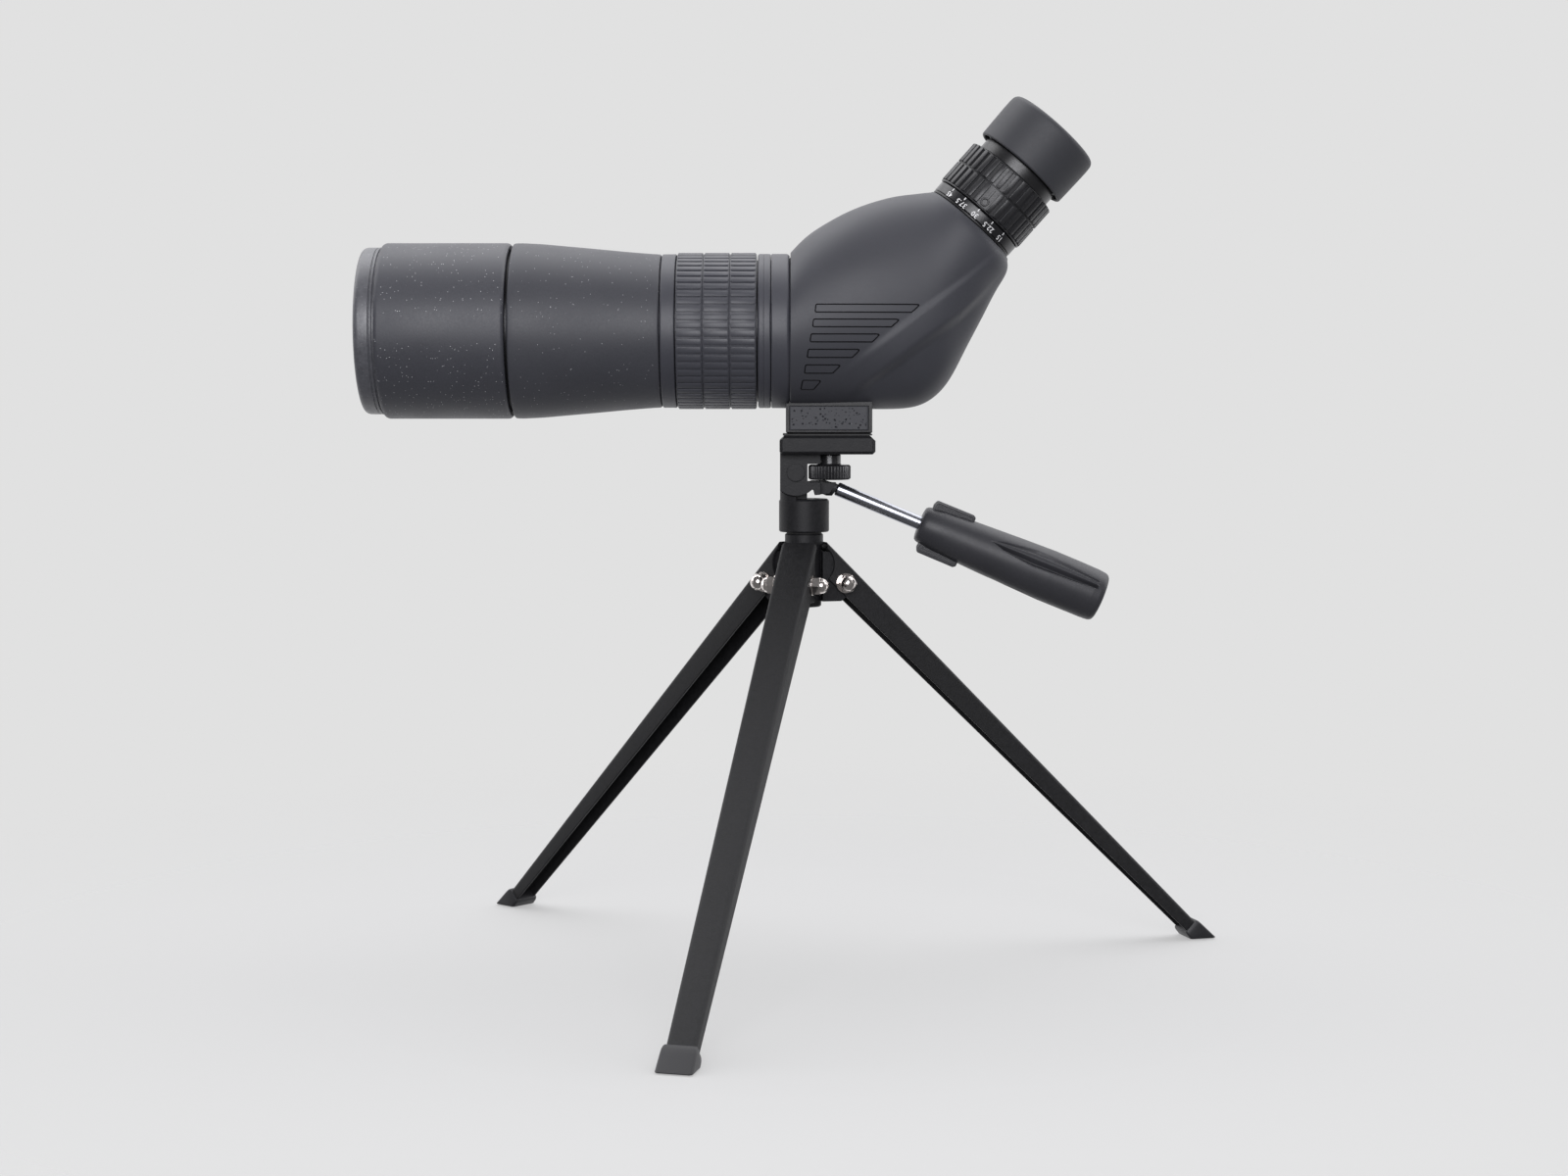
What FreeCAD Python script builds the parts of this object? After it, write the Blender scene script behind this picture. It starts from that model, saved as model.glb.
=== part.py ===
import FreeCAD, Part
import math
import os
from FreeCAD import Vector as V, Placement, Rotation

# Angled 60 mm spotting scope on a small pan and tilt table-top tripod, in mm.
# Origin on the ground under the tripod's column, +Z up. The optical axis lies
# along X: objective towards -X (front), eyepiece towards +X (rear) and up.

os.makedirs("parts", exist_ok=True)

# ---------------------------------------------------------------- dimensions
# Heights are measured from a datum GROUND above the ground; save() raises
# every piece so that the ground is Z = 0.
GROUND = 3.2
AXIS_Z = 272.3          # optical axis
EYE_ANGLE = 48.3        # eyepiece axis above horizontal, degrees
EYE_X = 30.6            # where the eyepiece axis meets the optical axis

# barrel, front to rear
CAP_R, CAP_X0, CAP_X1 = 35.8, -189.3, -180.45
SHADE_R, SHADE_BORE = 37.7, 34.8
SHADE_X0, SHADE_X1 = -180.4, -125.9
TUBE_R, TUBE_WALL = 33.6, 2.0
TUBE_X0, TUBE_X1 = -170.0, -6.45
TAPER_X0, TAPER_X1 = -122.0, -62.0
ARMOUR_X0, ARMOUR_X1 = -124.8, -61.3
ARMOUR_R0, ARMOUR_R1 = 37.7, 32.9
BODY_R = 30.4           # tube radius behind the taper
RING_R = 33.15          # plain rings
GLUE_GAP = 0.03         # between the barrel and what is fitted over it
FOCUS_GRIP_R, FOCUS_X0, FOCUS_X1 = 33.7, -54.4, -20.3
SLOT_X0, SLOT_X1 = -52.0, -24.0
FOCUS_PIN_X, FOCUS_PIN_R = -38.0, 1.2

# housing and eyepiece, distances along the eyepiece axis
MOUTH = 61.0            # upper mouth of the housing
MOUTH_R = 21.2
EYE_BORE = 14.2
EYE_INSERT_R = EYE_BORE - 0.05

# foot and tilting head
FOOT_X0, FOOT_X1, FOOT_Y, FOOT_Z0 = -7.9, 29.1, 12.0, 228.2
FOOT_SCREW_X = (-1.0, 23.0)
PLATE_X0, PLATE_X1, PLATE_Y = -10.6, 30.4, 16.0
PLATE_Z0, PLATE_Z1 = 219.5, 227.6
CLAMP_X, CLAMP_R = 11.05, 3.15          # 1/4 in camera screw
CLAMP_Z0 = 214.4
PIVOT = PIVOT_X, PIVOT_Z = -3.6, 211.7  # tilt pivot, axis along Y
PIN_R = 2.5
DISC_R = 10.2
TONGUE_Y, TONGUE_R = 4.0, 4.9
CHEEK_X0, CHEEK_X1 = -10.4, 1.4
CHEEK_Y0, CHEEK_Y1 = 4.3, 9.5
CHEEK_TOP = 220.2
ROD_ANGLE = 22.5                        # handle slope below horizontal
ROD_R, ROD_END = 3.05, 74.0
HANDLE_START = 58.2                     # grip, along the rod from the pivot

# column
COLLAR_R, COLLAR_Z0, COLLAR_Z1 = 10.85, 185.75, 200.0
NECK_R, NECK_Z0, NECK_Z1 = 8.3, 180.6, 184.9
COLUMN_R, COLUMN_Z0 = 7.5, 153.2
SPINDLE_HEAD_Z = 162.8
SPRING_Z0 = 166.0

# legs
LEG_AZIMUTH = {"right": 16.0, "left": 138.0, "front": 255.3}  # from +X towards +Y
HINGE = HINGE_R, HINGE_Z = 16.5, 163.5
LEG_ANGLE = 44.25                       # slope below horizontal
LEG_LENGTH = 238.9                      # hinge line to the ground
LEG_START, LEG_END = -19.5, 237.0       # along the leg from the hinge
LEG_W0, LEG_W1 = 15.4, 11.8             # width at hinge and at ground
LEG_WALL = 1.1
LUG_Y, LUG_R = 6.45, 5.3
BOLT_R = 1.95
BOLT_HOLE_R = 2.0
BOOT_START, BOOT_END = 231.0, 252.0
BOOT_GAP = 0.02

# ---------------------------------------------------------------- frames
X_AXIS, Y_AXIS, Z_AXIS = V(1, 0, 0), V(0, 1, 0), V(0, 0, 1)
SIDES = (-1, 1)
WORLD = Placement()
EYE_ORIGIN = V(EYE_X, 0, AXIS_Z)
EYE_DIR = V(math.cos(math.radians(EYE_ANGLE)), 0, math.sin(math.radians(EYE_ANGLE)))
ROD_ORIGIN = V(PIVOT_X, 0, PIVOT_Z)
ROD_DIR = V(math.cos(math.radians(ROD_ANGLE)), 0, -math.sin(math.radians(ROD_ANGLE)))
# Local z runs along the optical axis, the eyepiece axis and down the rod.
BARREL = Placement(V(0, 0, AXIS_Z), Rotation(Z_AXIS, X_AXIS))
EYEPIECE = Placement(EYE_ORIGIN, Rotation(Y_AXIS, 90.0 - EYE_ANGLE))
ROD = Placement(ROD_ORIGIN, Rotation(Y_AXIS, 90.0 + ROD_ANGLE))


# ---------------------------------------------------------------- helpers
def save(name, shape):
    shape = shape.copy()
    shape.translate(V(0, 0, GROUND))
    shape.exportStep("parts/%s.step" % name)


def revolve(profile, place=WORLD):
    """Closed profile of (radius, z) points turned about local z."""
    points = [V(radius, 0, z) for radius, z in profile]
    points.append(points[0])
    solid = Part.Face(Part.makePolygon(points)).revolve(V(0, 0, 0), Z_AXIS, 360)
    solid.Placement = place
    return solid


def ring(z0, z1, r_in, r_out, place=WORLD, chamfer=0.0):
    """Ring with optional outer chamfers; r_in = 0 makes a disc."""
    if chamfer:
        rim = [(r_out - chamfer, z0), (r_out, z0 + chamfer),
               (r_out, z1 - chamfer), (r_out - chamfer, z1)]
    else:
        rim = [(r_out, z0), (r_out, z1)]
    return revolve([(r_in, z0)] + rim + [(r_in, z1)], place)


def lens_face(z, radius, bulge, outward):
    """Half section of a lens face with its rim at z, and the face's tip."""
    tip = V(0, 0, z + outward * bulge)
    rim = V(radius, 0, z)
    if bulge == 0:
        return Part.makeLine(tip, rim), tip
    curve_r = (radius * radius + bulge * bulge) / (2 * abs(bulge))
    angle = 0.5 * math.asin(radius / curve_r)
    side = outward if bulge > 0 else -outward
    middle = V(curve_r * math.sin(angle), 0, tip.z - side * curve_r * (1 - math.cos(angle)))
    return Part.Arc(tip, middle, rim).toShape(), tip


def lens(z0, z1, radius, bulge0, bulge1, place):
    """Round lens with rims at z0 and z1; bulges are positive outwards."""
    face0, tip0 = lens_face(z0, radius, bulge0, -1)
    face1, tip1 = lens_face(z1, radius, bulge1, 1)
    edges = [face0, Part.makeLine(V(radius, 0, z0), V(radius, 0, z1)), face1,
             Part.makeLine(tip1, tip0)]
    wire = Part.Wire(Part.__sortEdges__(edges))
    solid = Part.Face(wire).revolve(V(0, 0, 0), Z_AXIS, 360)
    solid.Placement = place
    return solid


def slab(outline, y0, y1):
    """Polygon of (x, z) points carried from y0 to y1."""
    points = [V(x, y0, z) for x, z in outline]
    points.append(points[0])
    return Part.Face(Part.makePolygon(points)).extrude(V(0, y1 - y0, 0))


def box(x0, x1, y0, y1, z0, z1):
    return Part.makeBox(x1 - x0, y1 - y0, z1 - z0, V(x0, y0, z0))


def cylinder(radius, length, start, direction=Z_AXIS):
    return Part.makeCylinder(radius, length, start, direction)


def cross_cylinder(radius, centre, y0=-20, y1=20):
    """Cylinder along Y about the (x, z) centre."""
    x, z = centre
    return cylinder(radius, y1 - y0, V(x, y0, z), Y_AXIS)


def side_span(side, near, far):
    """Span from near to far on the given side of y = 0, lower y first."""
    return sorted((side * near, side * far))


def turned(shape, azimuth):
    copy = shape.copy()
    copy.rotate(V(0, 0, 0), Z_AXIS, azimuth)
    return copy


# ------------------------------------------------------------ prism housing
# Sections through the bend: top (x, z), bottom (x, z), half width.
BEND_SECTIONS = [
    ((-6.3, 305.4), (-6.3, 239.15), 33.1),
    ((-0.2, 311.7), (1.5, 238.85), 33.0),
    ((9.1, 318.2), (13.4, 238.8), 32.6),
    ((19.3, 323.6), (27.0, 238.8), 31.9),
    ((29.5, 327.4), (40.6, 238.9), 30.8),
    ((38.9, 329.8), (52.1, 241.4), 29.4),
    ((46.5, 330.8), (61.8, 250.1), 27.8),
    ((51.0, 331.3), (69.5, 264.3), 26.3),
    ((53.2, 331.5), (77.6, 279.9), 24.9),
    ((54.3, 331.6), (83.8, 291.6), 23.8),
    ((54.9, 331.7), (87.5, 299.4), 22.5),
    ((55.5, 331.9), (87.0, 304.0), 21.1),
]
SECTION_POINTS = 24


def bend(inset):
    """Loft through the elliptical sections, each shrunk by inset."""
    wires = []
    for (top_x, top_z), (bottom_x, bottom_z), half_width in BEND_SECTIONS:
        top, bottom = V(top_x, 0, top_z), V(bottom_x, 0, bottom_z)
        centre = (top + bottom) * 0.5
        upward = top - bottom
        half_height = upward.Length / 2 - inset
        upward.normalize()
        points = []
        for i in range(SECTION_POINTS):
            angle = 2 * math.pi * i / SECTION_POINTS
            points.append(centre + upward * (half_height * math.cos(angle))
                          + V(0, (half_width - inset) * math.sin(angle), 0))
        curve = Part.BSplineCurve()
        curve.interpolate(Points=points, PeriodicFlag=True)
        wires.append(Part.Wire([curve.toShape()]))
    return Part.makeLoft(wires, True, False)


def beyond_mouth():
    """Everything past the housing's upper mouth."""
    return cylinder(60, 80, EYE_ORIGIN + EYE_DIR * (MOUTH - 0.05), EYE_DIR)


def housing_armour(armour_inside):
    gap = 0.05
    foot_hole = box(FOOT_X0 - gap, FOOT_X1 + gap, -FOOT_Y - gap, FOOT_Y + gap, 225, 245)
    return bend(0.0).cut(armour_inside).cut(foot_hole).cut(beyond_mouth())


def prism_housing():
    shell = bend(1.95).cut(bend(4.4))
    for x in FOOT_SCREW_X:
        shell = shell.cut(cylinder(2.1, 12, V(x, 0, 232)))
    return shell.cut(beyond_mouth())


armour_inside = bend(1.9)
save("housing_armour", housing_armour(armour_inside))
save("prism_housing", prism_housing())
# ring closing the housing's upper mouth, fixed to the shell
save("eyepiece_seat", revolve([
    (14.6, 56.5), (16.2, 56.5), (16.2, MOUTH), (MOUTH_R, MOUTH), (MOUTH_R, 62.2),
    (14.6, 62.2)], EYEPIECE))


# ------------------------------------------------------------ mounting foot
def foot_panels(y_centre, half_thickness, gap):
    """Plates on both flanks of the foot, gap inside the recess outline."""
    margin = 1.5 + gap
    return [box(FOOT_X0 + margin, FOOT_X1 - margin,
                side * y_centre - half_thickness, side * y_centre + half_thickness,
                FOOT_Z0 + margin, 240.2 - gap) for side in SIDES]


def mounting_foot():
    foot = box(FOOT_X0, FOOT_X1, -FOOT_Y, FOOT_Y, FOOT_Z0, 243.2)
    collar_room = cylinder(RING_R + 0.05, 20, V(-20, 0, AXIS_Z), X_AXIS)
    collar_room = collar_room.common(box(-30, -6.2, -40, 40, 200, 260))
    foot = foot.cut(armour_inside).cut(collar_room)
    bottom_edges = [e for e in foot.Edges if e.BoundBox.ZMax < FOOT_Z0 + 0.01]
    foot = foot.makeChamfer(0.8, bottom_edges)
    for x in FOOT_SCREW_X:
        foot = foot.cut(cylinder(2.0, 9.0, V(x, 0, 232.5)))
    foot = foot.cut(cylinder(CLAMP_R + 0.05, 9.0, V(CLAMP_X, 0, FOOT_Z0)))
    for recess in foot_panels(FOOT_Y, 0.9, 0.0):
        foot = foot.cut(recess)
    return foot


def foot_screw(x):
    """Socket-head screw, head up inside the housing."""
    shank_z, head_z = 233.0, 243.9
    screw = cylinder(1.95, head_z - shank_z, V(x, 0, shank_z))
    screw = screw.fuse(cylinder(3.4, 2.4, V(x, 0, head_z)))
    return screw.cut(cylinder(1.5, 1.4, V(x, 0, head_z + 1.0)))


save("mounting_foot", mounting_foot())
save("foot_inserts", Part.makeCompound(foot_panels(FOOT_Y - 0.5, 0.35, 0.1)))
save("foot_screws", Part.makeCompound([foot_screw(x) for x in FOOT_SCREW_X]))


# ------------------------------------------------------------ barrel
def barrel_tube():
    """Tapered tube with a slot in its top for the focusing pin."""
    tube = revolve([
        (TUBE_R, TUBE_X0), (TUBE_R, TAPER_X0), (BODY_R, TAPER_X1), (BODY_R, TUBE_X1),
        (26.6, TUBE_X1), (26.6, -13.0), (BODY_R - TUBE_WALL, -13.0),
        (BODY_R - TUBE_WALL, TAPER_X1), (TUBE_R - TUBE_WALL, TAPER_X0),
        (TUBE_R - TUBE_WALL, TUBE_X0)], BARREL)
    return tube.cut(box(SLOT_X0, SLOT_X1, -1.3, 1.3, AXIS_Z + 26, AXIS_Z + 32))


SLEEVE_BORE = BODY_R + GLUE_GAP

save("barrel_tube", barrel_tube())
save("barrel_armour", revolve([
    (TUBE_R + GLUE_GAP, ARMOUR_X0), (ARMOUR_R0 - 1.2, ARMOUR_X0),
    (ARMOUR_R0 - 0.3, ARMOUR_X0 + 0.6), (ARMOUR_R0, ARMOUR_X0 + 1.9),
    (ARMOUR_R0 - 0.05, ARMOUR_X0 + 4.5), (35.6, -94.0), (33.5, -70.0),
    (ARMOUR_R1, -64.0), (ARMOUR_R1 - 0.1, ARMOUR_X1 - 0.4), (ARMOUR_R1 - 0.5, ARMOUR_X1),
    (SLEEVE_BORE, ARMOUR_X1), (SLEEVE_BORE, TAPER_X1), (TUBE_R + GLUE_GAP, TAPER_X0)],
    BARREL))
save("front_ring", ring(-61.0, -54.75, SLEEVE_BORE, 33.0, BARREL, 0.4))
save("rear_ring", ring(-19.8, -14.35, SLEEVE_BORE, RING_R, BARREL, 0.35))
save("housing_collar", ring(-14.15, -6.35, SLEEVE_BORE, RING_R, BARREL, 0.35))

# ------------------------------------------------------------ focusing
FOCUS_CORE_R = 31.9
FOCUS_BORE = BODY_R + 0.06


def focus_ring():
    """Moulded core with an inner groove over the slot."""
    x0, x1 = FOCUS_X0 + 0.1, FOCUS_X1 - 0.1
    return revolve([
        (FOCUS_BORE, x0), (FOCUS_CORE_R, x0), (FOCUS_CORE_R, x1), (FOCUS_BORE, x1),
        (FOCUS_BORE, SLOT_X1), (31.3, SLOT_X1), (31.3, SLOT_X0), (FOCUS_BORE, SLOT_X0)],
        BARREL)


def focus_grip():
    """Rubber sleeve in three bands parted by shallow grooves."""
    bands, pitch, length, bevel = 3, 11.38, 11.1, 0.3
    groove_r = 33.0
    bore = FOCUS_CORE_R + GLUE_GAP
    start = FOCUS_X0 + 0.1
    profile = [(bore, start)]
    for i in range(bands):
        x0 = start + i * pitch
        x1 = x0 + length
        profile += [(groove_r, x0), (FOCUS_GRIP_R, x0 + bevel),
                    (FOCUS_GRIP_R, x1 - bevel), (groove_r, x1)]
    profile.append((bore, x1))
    return revolve(profile, BARREL)


def focus_cell():
    """Lens cell sliding in the tube, drilled for the focusing pin."""
    cell = revolve([
        (22.0, -46.0), (28.35, -46.0), (28.35, -30.0), (22.0, -30.0), (22.0, -36.0),
        (25.0, -36.0), (25.0, -41.0), (22.0, -41.0)], BARREL)
    return cell.cut(cylinder(FOCUS_PIN_R + 0.02, 8, V(FOCUS_PIN_X, 0, AXIS_Z + 22)))


save("focus_ring", focus_ring())
save("focus_grip", focus_grip())
save("focus_cell", focus_cell())
save("focus_lens", lens(-40.3, -36.7, 24.9, -1.1, -0.9, BARREL))
save("focus_pin", cylinder(FOCUS_PIN_R, 5.6, V(FOCUS_PIN_X, 0, AXIS_Z + 25.6)))

# ------------------------------------------------------------ objective
OBJECTIVE_R = 30.0

save("objective_cell", revolve([
    (30.1, -167.0), (31.55, -167.0), (31.55, -150.0), (28.4, -150.0), (28.4, -151.0),
    (30.1, -151.0)], BARREL))
save("objective_crown", lens(-161.5, -156.6, OBJECTIVE_R, 2.4, 2.2, BARREL))
save("objective_flint", lens(-156.55, -151.1, OBJECTIVE_R, -2.2, 0.0, BARREL))
save("objective_retainer", ring(-163.8, -161.9, 28.6, OBJECTIVE_R + 0.05, BARREL))

# sunshade, its glide ring and the cap
save("sunshade", revolve([
    (SHADE_BORE, SHADE_X0), (SHADE_R - 1.4, SHADE_X0), (SHADE_R - 0.5, SHADE_X0 + 0.3),
    (SHADE_R, SHADE_X0 + 1.2), (SHADE_R, SHADE_X1 - 0.8), (SHADE_R - 0.3, SHADE_X1 - 0.2),
    (SHADE_R - 0.9, SHADE_X1), (SHADE_BORE, SHADE_X1)], BARREL))
save("sunshade_glide_ring",
     ring(-168.5, -162.5, TUBE_R + 0.02, SHADE_BORE - 0.05, BARREL, 0.2))
save("objective_cap", revolve([
    (0, CAP_X0), (34.0, CAP_X0), (35.1, CAP_X0 + 0.5), (CAP_R, CAP_X0 + 1.6),
    (CAP_R, CAP_X1), (34.7, CAP_X1), (34.7, -172.5), (33.2, -172.5),
    (33.2, CAP_X0 + 2.0), (0, CAP_X0 + 2.0)], BARREL))

# ------------------------------------------------------------ prism group
PRISM_Y = 12.5


def prism_cage():
    """Open carrier round the prism, with a light hole in its front wall."""
    cage = slab([(6.6, 303.0), (6.6, 255.0), (11.5, 252.0), (50.5, 269.5), (50.5, 273.0),
                 (14.5, 306.6), (9.0, 306.6)], -13.9, 13.9)
    cage = cage.cut(slab([(9.7, 305.0), (9.7, 258.2), (12.0, 256.0), (60.0, 277.6),
                          (60.0, 330.0), (20.0, 330.0)], -PRISM_Y - 0.1, PRISM_Y + 0.1))
    return cage.cut(cylinder(10.5, 8, V(4.0, 0, AXIS_Z), X_AXIS))


save("roof_prism", slab([(10.0, 303.2), (10.0, 258.5), (12.4, 256.4), (46.2, 271.6),
                         (46.5, 274.5), (12.9, 304.4)], -PRISM_Y, PRISM_Y))
save("prism_cage", prism_cage())
save("prism_clip", slab([(21.13, 297.14), (14.43, 303.14), (14.83, 303.59),
                         (21.53, 297.59)], -PRISM_Y, PRISM_Y))
save("field_stop", ring(52.5, 53.7, 8.0, EYE_INSERT_R, EYEPIECE))


# ------------------------------------------------------------ eyepiece
def eyepiece_barrel():
    barrel = revolve([
        (EYE_BORE, 52.0), (14.55, 52.0), (14.55, 62.25), (17.0, 62.25), (17.0, 88.3),
        (18.7, 88.3), (18.7, 93.6), (17.6, 93.6), (17.6, 110.5), (EYE_BORE, 110.5)],
        EYEPIECE)
    return barrel.cut(ring(96.0, 109.3, 10, 15.4, EYEPIECE))


save("scale_ring", ring(62.25, 66.75, 17.1, MOUTH_R, EYEPIECE, 0.25))
save("eyepiece_barrel", eyepiece_barrel())
save("zoom_ring", ring(67.1, 87.9, 17.06, 20.3, EYEPIECE))
save("zoom_grip", revolve([
    (20.33, 67.1), (21.5, 67.1), (21.9, 67.5), (21.9, 77.9), (21.3, 78.1), (21.3, 78.5),
    (21.9, 78.7), (21.9, 87.2), (21.2, 88.0), (20.33, 88.0)], EYEPIECE))
save("eyecup", revolve([
    (17.63, 94.8), (19.0, 94.8), (19.0, 111.8), (20.6, 112.8), (20.6, 94.0), (21.7, 94.0),
    (22.1, 94.6), (22.4, 110.4), (22.1, 113.4), (21.2, 114.9), (19.6, 115.5),
    (18.0, 115.2), (15.6, 112.9), (14.6, 111.0), (14.6, 110.55), (17.63, 110.55)],
    EYEPIECE))

# Zoom lenses: name, cell ends, cell bore, lens rims, lens bulges.
ZOOM_GROUPS = [
    ("front", (64.5, 70.5), 10.2, (65.8, 69.0), (0.9, 0.6)),
    ("rear", (80.0, 86.5), 11.2, (81.5, 84.8), (1.1, 1.1)),
]
for name, cell_ends, bore, rims, bulges in ZOOM_GROUPS:
    save("zoom_%s_cell" % name, ring(*cell_ends, bore, EYE_INSERT_R, EYEPIECE))
    save("zoom_%s_lens" % name, lens(*rims, bore - 0.05, *bulges, EYEPIECE))

save("eye_lens_cell", ring(97.0, 106.0, 12.6, 15.35, EYEPIECE))
save("eye_lens", lens(99.5, 104.5, 12.55, 1.4, 0.8, EYEPIECE))
save("eye_lens_ring", revolve([
    (11.6, 106.05), (15.35, 106.05), (15.35, 108.0), (13.0, 108.0)], EYEPIECE))


# ------------------------------------------------------------ tilting head
def head_plate():
    plate = box(PLATE_X0, PLATE_X1, -PLATE_Y, PLATE_Y, PLATE_Z0, PLATE_Z1)
    plate = plate.makeChamfer(1.2, plate.Edges)
    return plate.common(slab([
        (PLATE_X0, PLATE_Z0), (PLATE_X1, PLATE_Z0), (PLATE_X1, PLATE_Z1 - 2.3),
        (PLATE_X1 - 2.4, PLATE_Z1), (PLATE_X0 + 2.4, PLATE_Z1), (PLATE_X0, PLATE_Z1 - 2.3)],
        -PLATE_Y, PLATE_Y))


def head_cheek(side):
    """Upright beside the tongue, rounded off below the pivot."""
    y0, y1 = side_span(side, CHEEK_Y0, CHEEK_Y1)
    upright = slab([(CHEEK_X0, CHEEK_TOP), (CHEEK_X1, CHEEK_TOP), (CHEEK_X1, 204.0),
                    (CHEEK_X0, 204.0)], y0, y1)
    disc = cross_cylinder(DISC_R, PIVOT, y0, y1)
    low = disc.common(box(CHEEK_X0, 20, -20, 20, 190, 207.4))
    high = upright.common(box(CHEEK_X0, CHEEK_X1, -20, 20, PIVOT_Z, 230))
    return high.fuse(low).fuse(upright.common(disc))


def head_web():
    """Bridge joining the cheeks under the plate."""
    web = slab([(CHEEK_X0, CHEEK_TOP), (CHEEK_X1, CHEEK_TOP), (CHEEK_X1, 217.4),
                (CHEEK_X0, 217.4)], -CHEEK_Y1, CHEEK_Y1)
    for side in (1, -1):
        y0, y1 = side_span(side, 5.2, CHEEK_Y1)
        web = web.fuse(box(0.8, 7.0, y0, y1, 215.3, CHEEK_TOP))
    return web


def head_horn():
    """Rearward horn from the cheeks to the rod boss."""
    horn = slab([(2.9, 207.4), (5.8, 207.4), (13.9, 207.0), (10.9, 202.3), (4.5, 201.9)],
                -CHEEK_Y1, CHEEK_Y1)
    horn = horn.cut(cross_cylinder(5.3, PIVOT))
    envelope = box(2.0, 20, -4.5, 4.5, 190, 230)
    return horn.common(envelope.fuse(box(2.0, 7.0, -CHEEK_Y1, CHEEK_Y1, 190, 230)))


def rod_boss():
    boss = cylinder(4.5, 11.6, ROD_ORIGIN + ROD_DIR * 7.4, ROD_DIR)
    return boss.common(slab([(-3, 208.0), (9.0, 208.0), (15.5, 206.0), (12.0, 201.4),
                             (4.2, 201.4), (-3, 204)], -9, 9))


def tilt_head():
    head = head_plate()
    for side in SIDES:
        head = head.fuse(head_cheek(side))
    head = head.fuse(head_web()).fuse(head_horn()).fuse(rod_boss())
    head = head.cut(cylinder(1.95, 10, ROD_ORIGIN + ROD_DIR * 15.4, ROD_DIR))
    # room for the tongue as the head aims up
    for angle in (0.0, 2.5, 5.0):
        room = box(PIVOT_X - TONGUE_R, PIVOT_X + TONGUE_R + 0.3, -CHEEK_Y0, CHEEK_Y0,
                   PIVOT_Z - 13.0, PIVOT_Z)
        room.rotate(ROD_ORIGIN, Y_AXIS, -angle)
        head = head.cut(room)
    head = head.cut(cross_cylinder(PIN_R + 0.05, PIVOT))
    # clamp screw hole and room for its knob
    head = head.cut(cylinder(3.4, 20, V(CLAMP_X, 0, 212)))
    return head.cut(cylinder(9.9, 7.4, V(CLAMP_X, 0, 207.9)))


def plate_pad():
    margin = 1.4
    pad = box(PLATE_X0 + margin, PLATE_X1 - margin, -14.4, 14.4, PLATE_Z1, FOOT_Z0)
    return pad.cut(cylinder(3.4, 5, V(CLAMP_X, 0, 226)))


def tilt_pin():
    """Pin riveted through the cheeks."""
    pin = cross_cylinder(PIN_R, PIVOT, -CHEEK_Y1, CHEEK_Y1)
    for side in SIDES:
        pin = pin.fuse(cross_cylinder(3.9, PIVOT, *side_span(side, CHEEK_Y1, CHEEK_Y1 + 1.0)))
    return pin


def clamp_knob():
    place = Placement(V(CLAMP_X, 0, 0), Rotation())
    knob = ring(208.3, 214.8, 0, 9.15, place, 0.6)
    knob = knob.fuse(ring(214.0, 219.2, 0, 4.9, place))
    return knob.cut(cylinder(CLAMP_R, 10, V(CLAMP_X, 0, CLAMP_Z0)))


save("tilt_head", tilt_head())
save("plate_pad", plate_pad())
save("tilt_pin", tilt_pin())
save("clamp_screw", cylinder(CLAMP_R, 20.6, V(CLAMP_X, 0, CLAMP_Z0)))
save("clamp_knob", clamp_knob())

# ------------------------------------------------------------ handle
# Outline of the grip: radius, distance from the grip's start.
HANDLE_PROFILE = [
    (ROD_R, 0), (6.0, 0), (7.6, 0.8), (8.6, 3.0), (9.2, 8), (10.1, 25.0), (11.1, 45),
    (11.5, 59.5), (11.35, 79.5), (10.9, 83.5), (9.8, 85.2), (0, 85.2),
]


def handle_grip():
    """Moulded grip with fins above and below its start."""
    socket_z = ROD_END + 0.05
    grip = revolve([(radius, HANDLE_START + z) for radius, z in HANDLE_PROFILE]
                   + [(0, socket_z), (ROD_R, socket_z)], ROD)
    fins = box(-12.2, 12.2, -2.5, 2.5, HANDLE_START + 2.6, HANDLE_START + 21.6)
    fins = fins.makeChamfer(1.0, fins.Edges)
    fins = fins.cut(cylinder(9.0, 40, V(0, 0, HANDLE_START - 2)))
    fins.Placement = ROD
    return grip.fuse(fins)


save("handle_rod", revolve([
    (0, 15.6), (1.6, 15.6), (1.9, 15.9), (1.9, 19.1), (2.6, 19.1), (ROD_R, 19.5),
    (ROD_R, ROD_END), (0, ROD_END)], ROD))
save("handle_grip", handle_grip())


# ------------------------------------------------------------ pan base
def pan_base():
    """Collar carrying the tongue and a cradle under the cheeks' discs."""
    collar = revolve([
        (0, COLLAR_Z0), (COLLAR_R - 0.5, COLLAR_Z0), (COLLAR_R, COLLAR_Z0 + 0.5),
        (COLLAR_R, COLLAR_Z1 - 0.8), (COLLAR_R - 0.8, COLLAR_Z1), (0, COLLAR_Z1)])
    tongue = box(PIVOT_X - TONGUE_R, PIVOT_X + TONGUE_R, -TONGUE_Y, TONGUE_Y,
                 COLLAR_Z1 - 1, PIVOT_Z)
    tongue = tongue.fuse(cross_cylinder(TONGUE_R, PIVOT, -TONGUE_Y, TONGUE_Y))
    cradle = box(CHEEK_X0, PIVOT_X, -11, 11, COLLAR_Z1 - 1, 204.4)
    cradle = cradle.common(cylinder(COLLAR_R - 0.1, 20, V(0, 0, 190)))
    cradle = cradle.cut(cross_cylinder(DISC_R + 0.3, PIVOT))
    base = collar.fuse(tongue).fuse(cradle).cut(cross_cylinder(PIN_R + 0.05, PIVOT))
    return base.cut(cylinder(3.0, 12.0, V(0, 0, COLLAR_Z0)))


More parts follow.
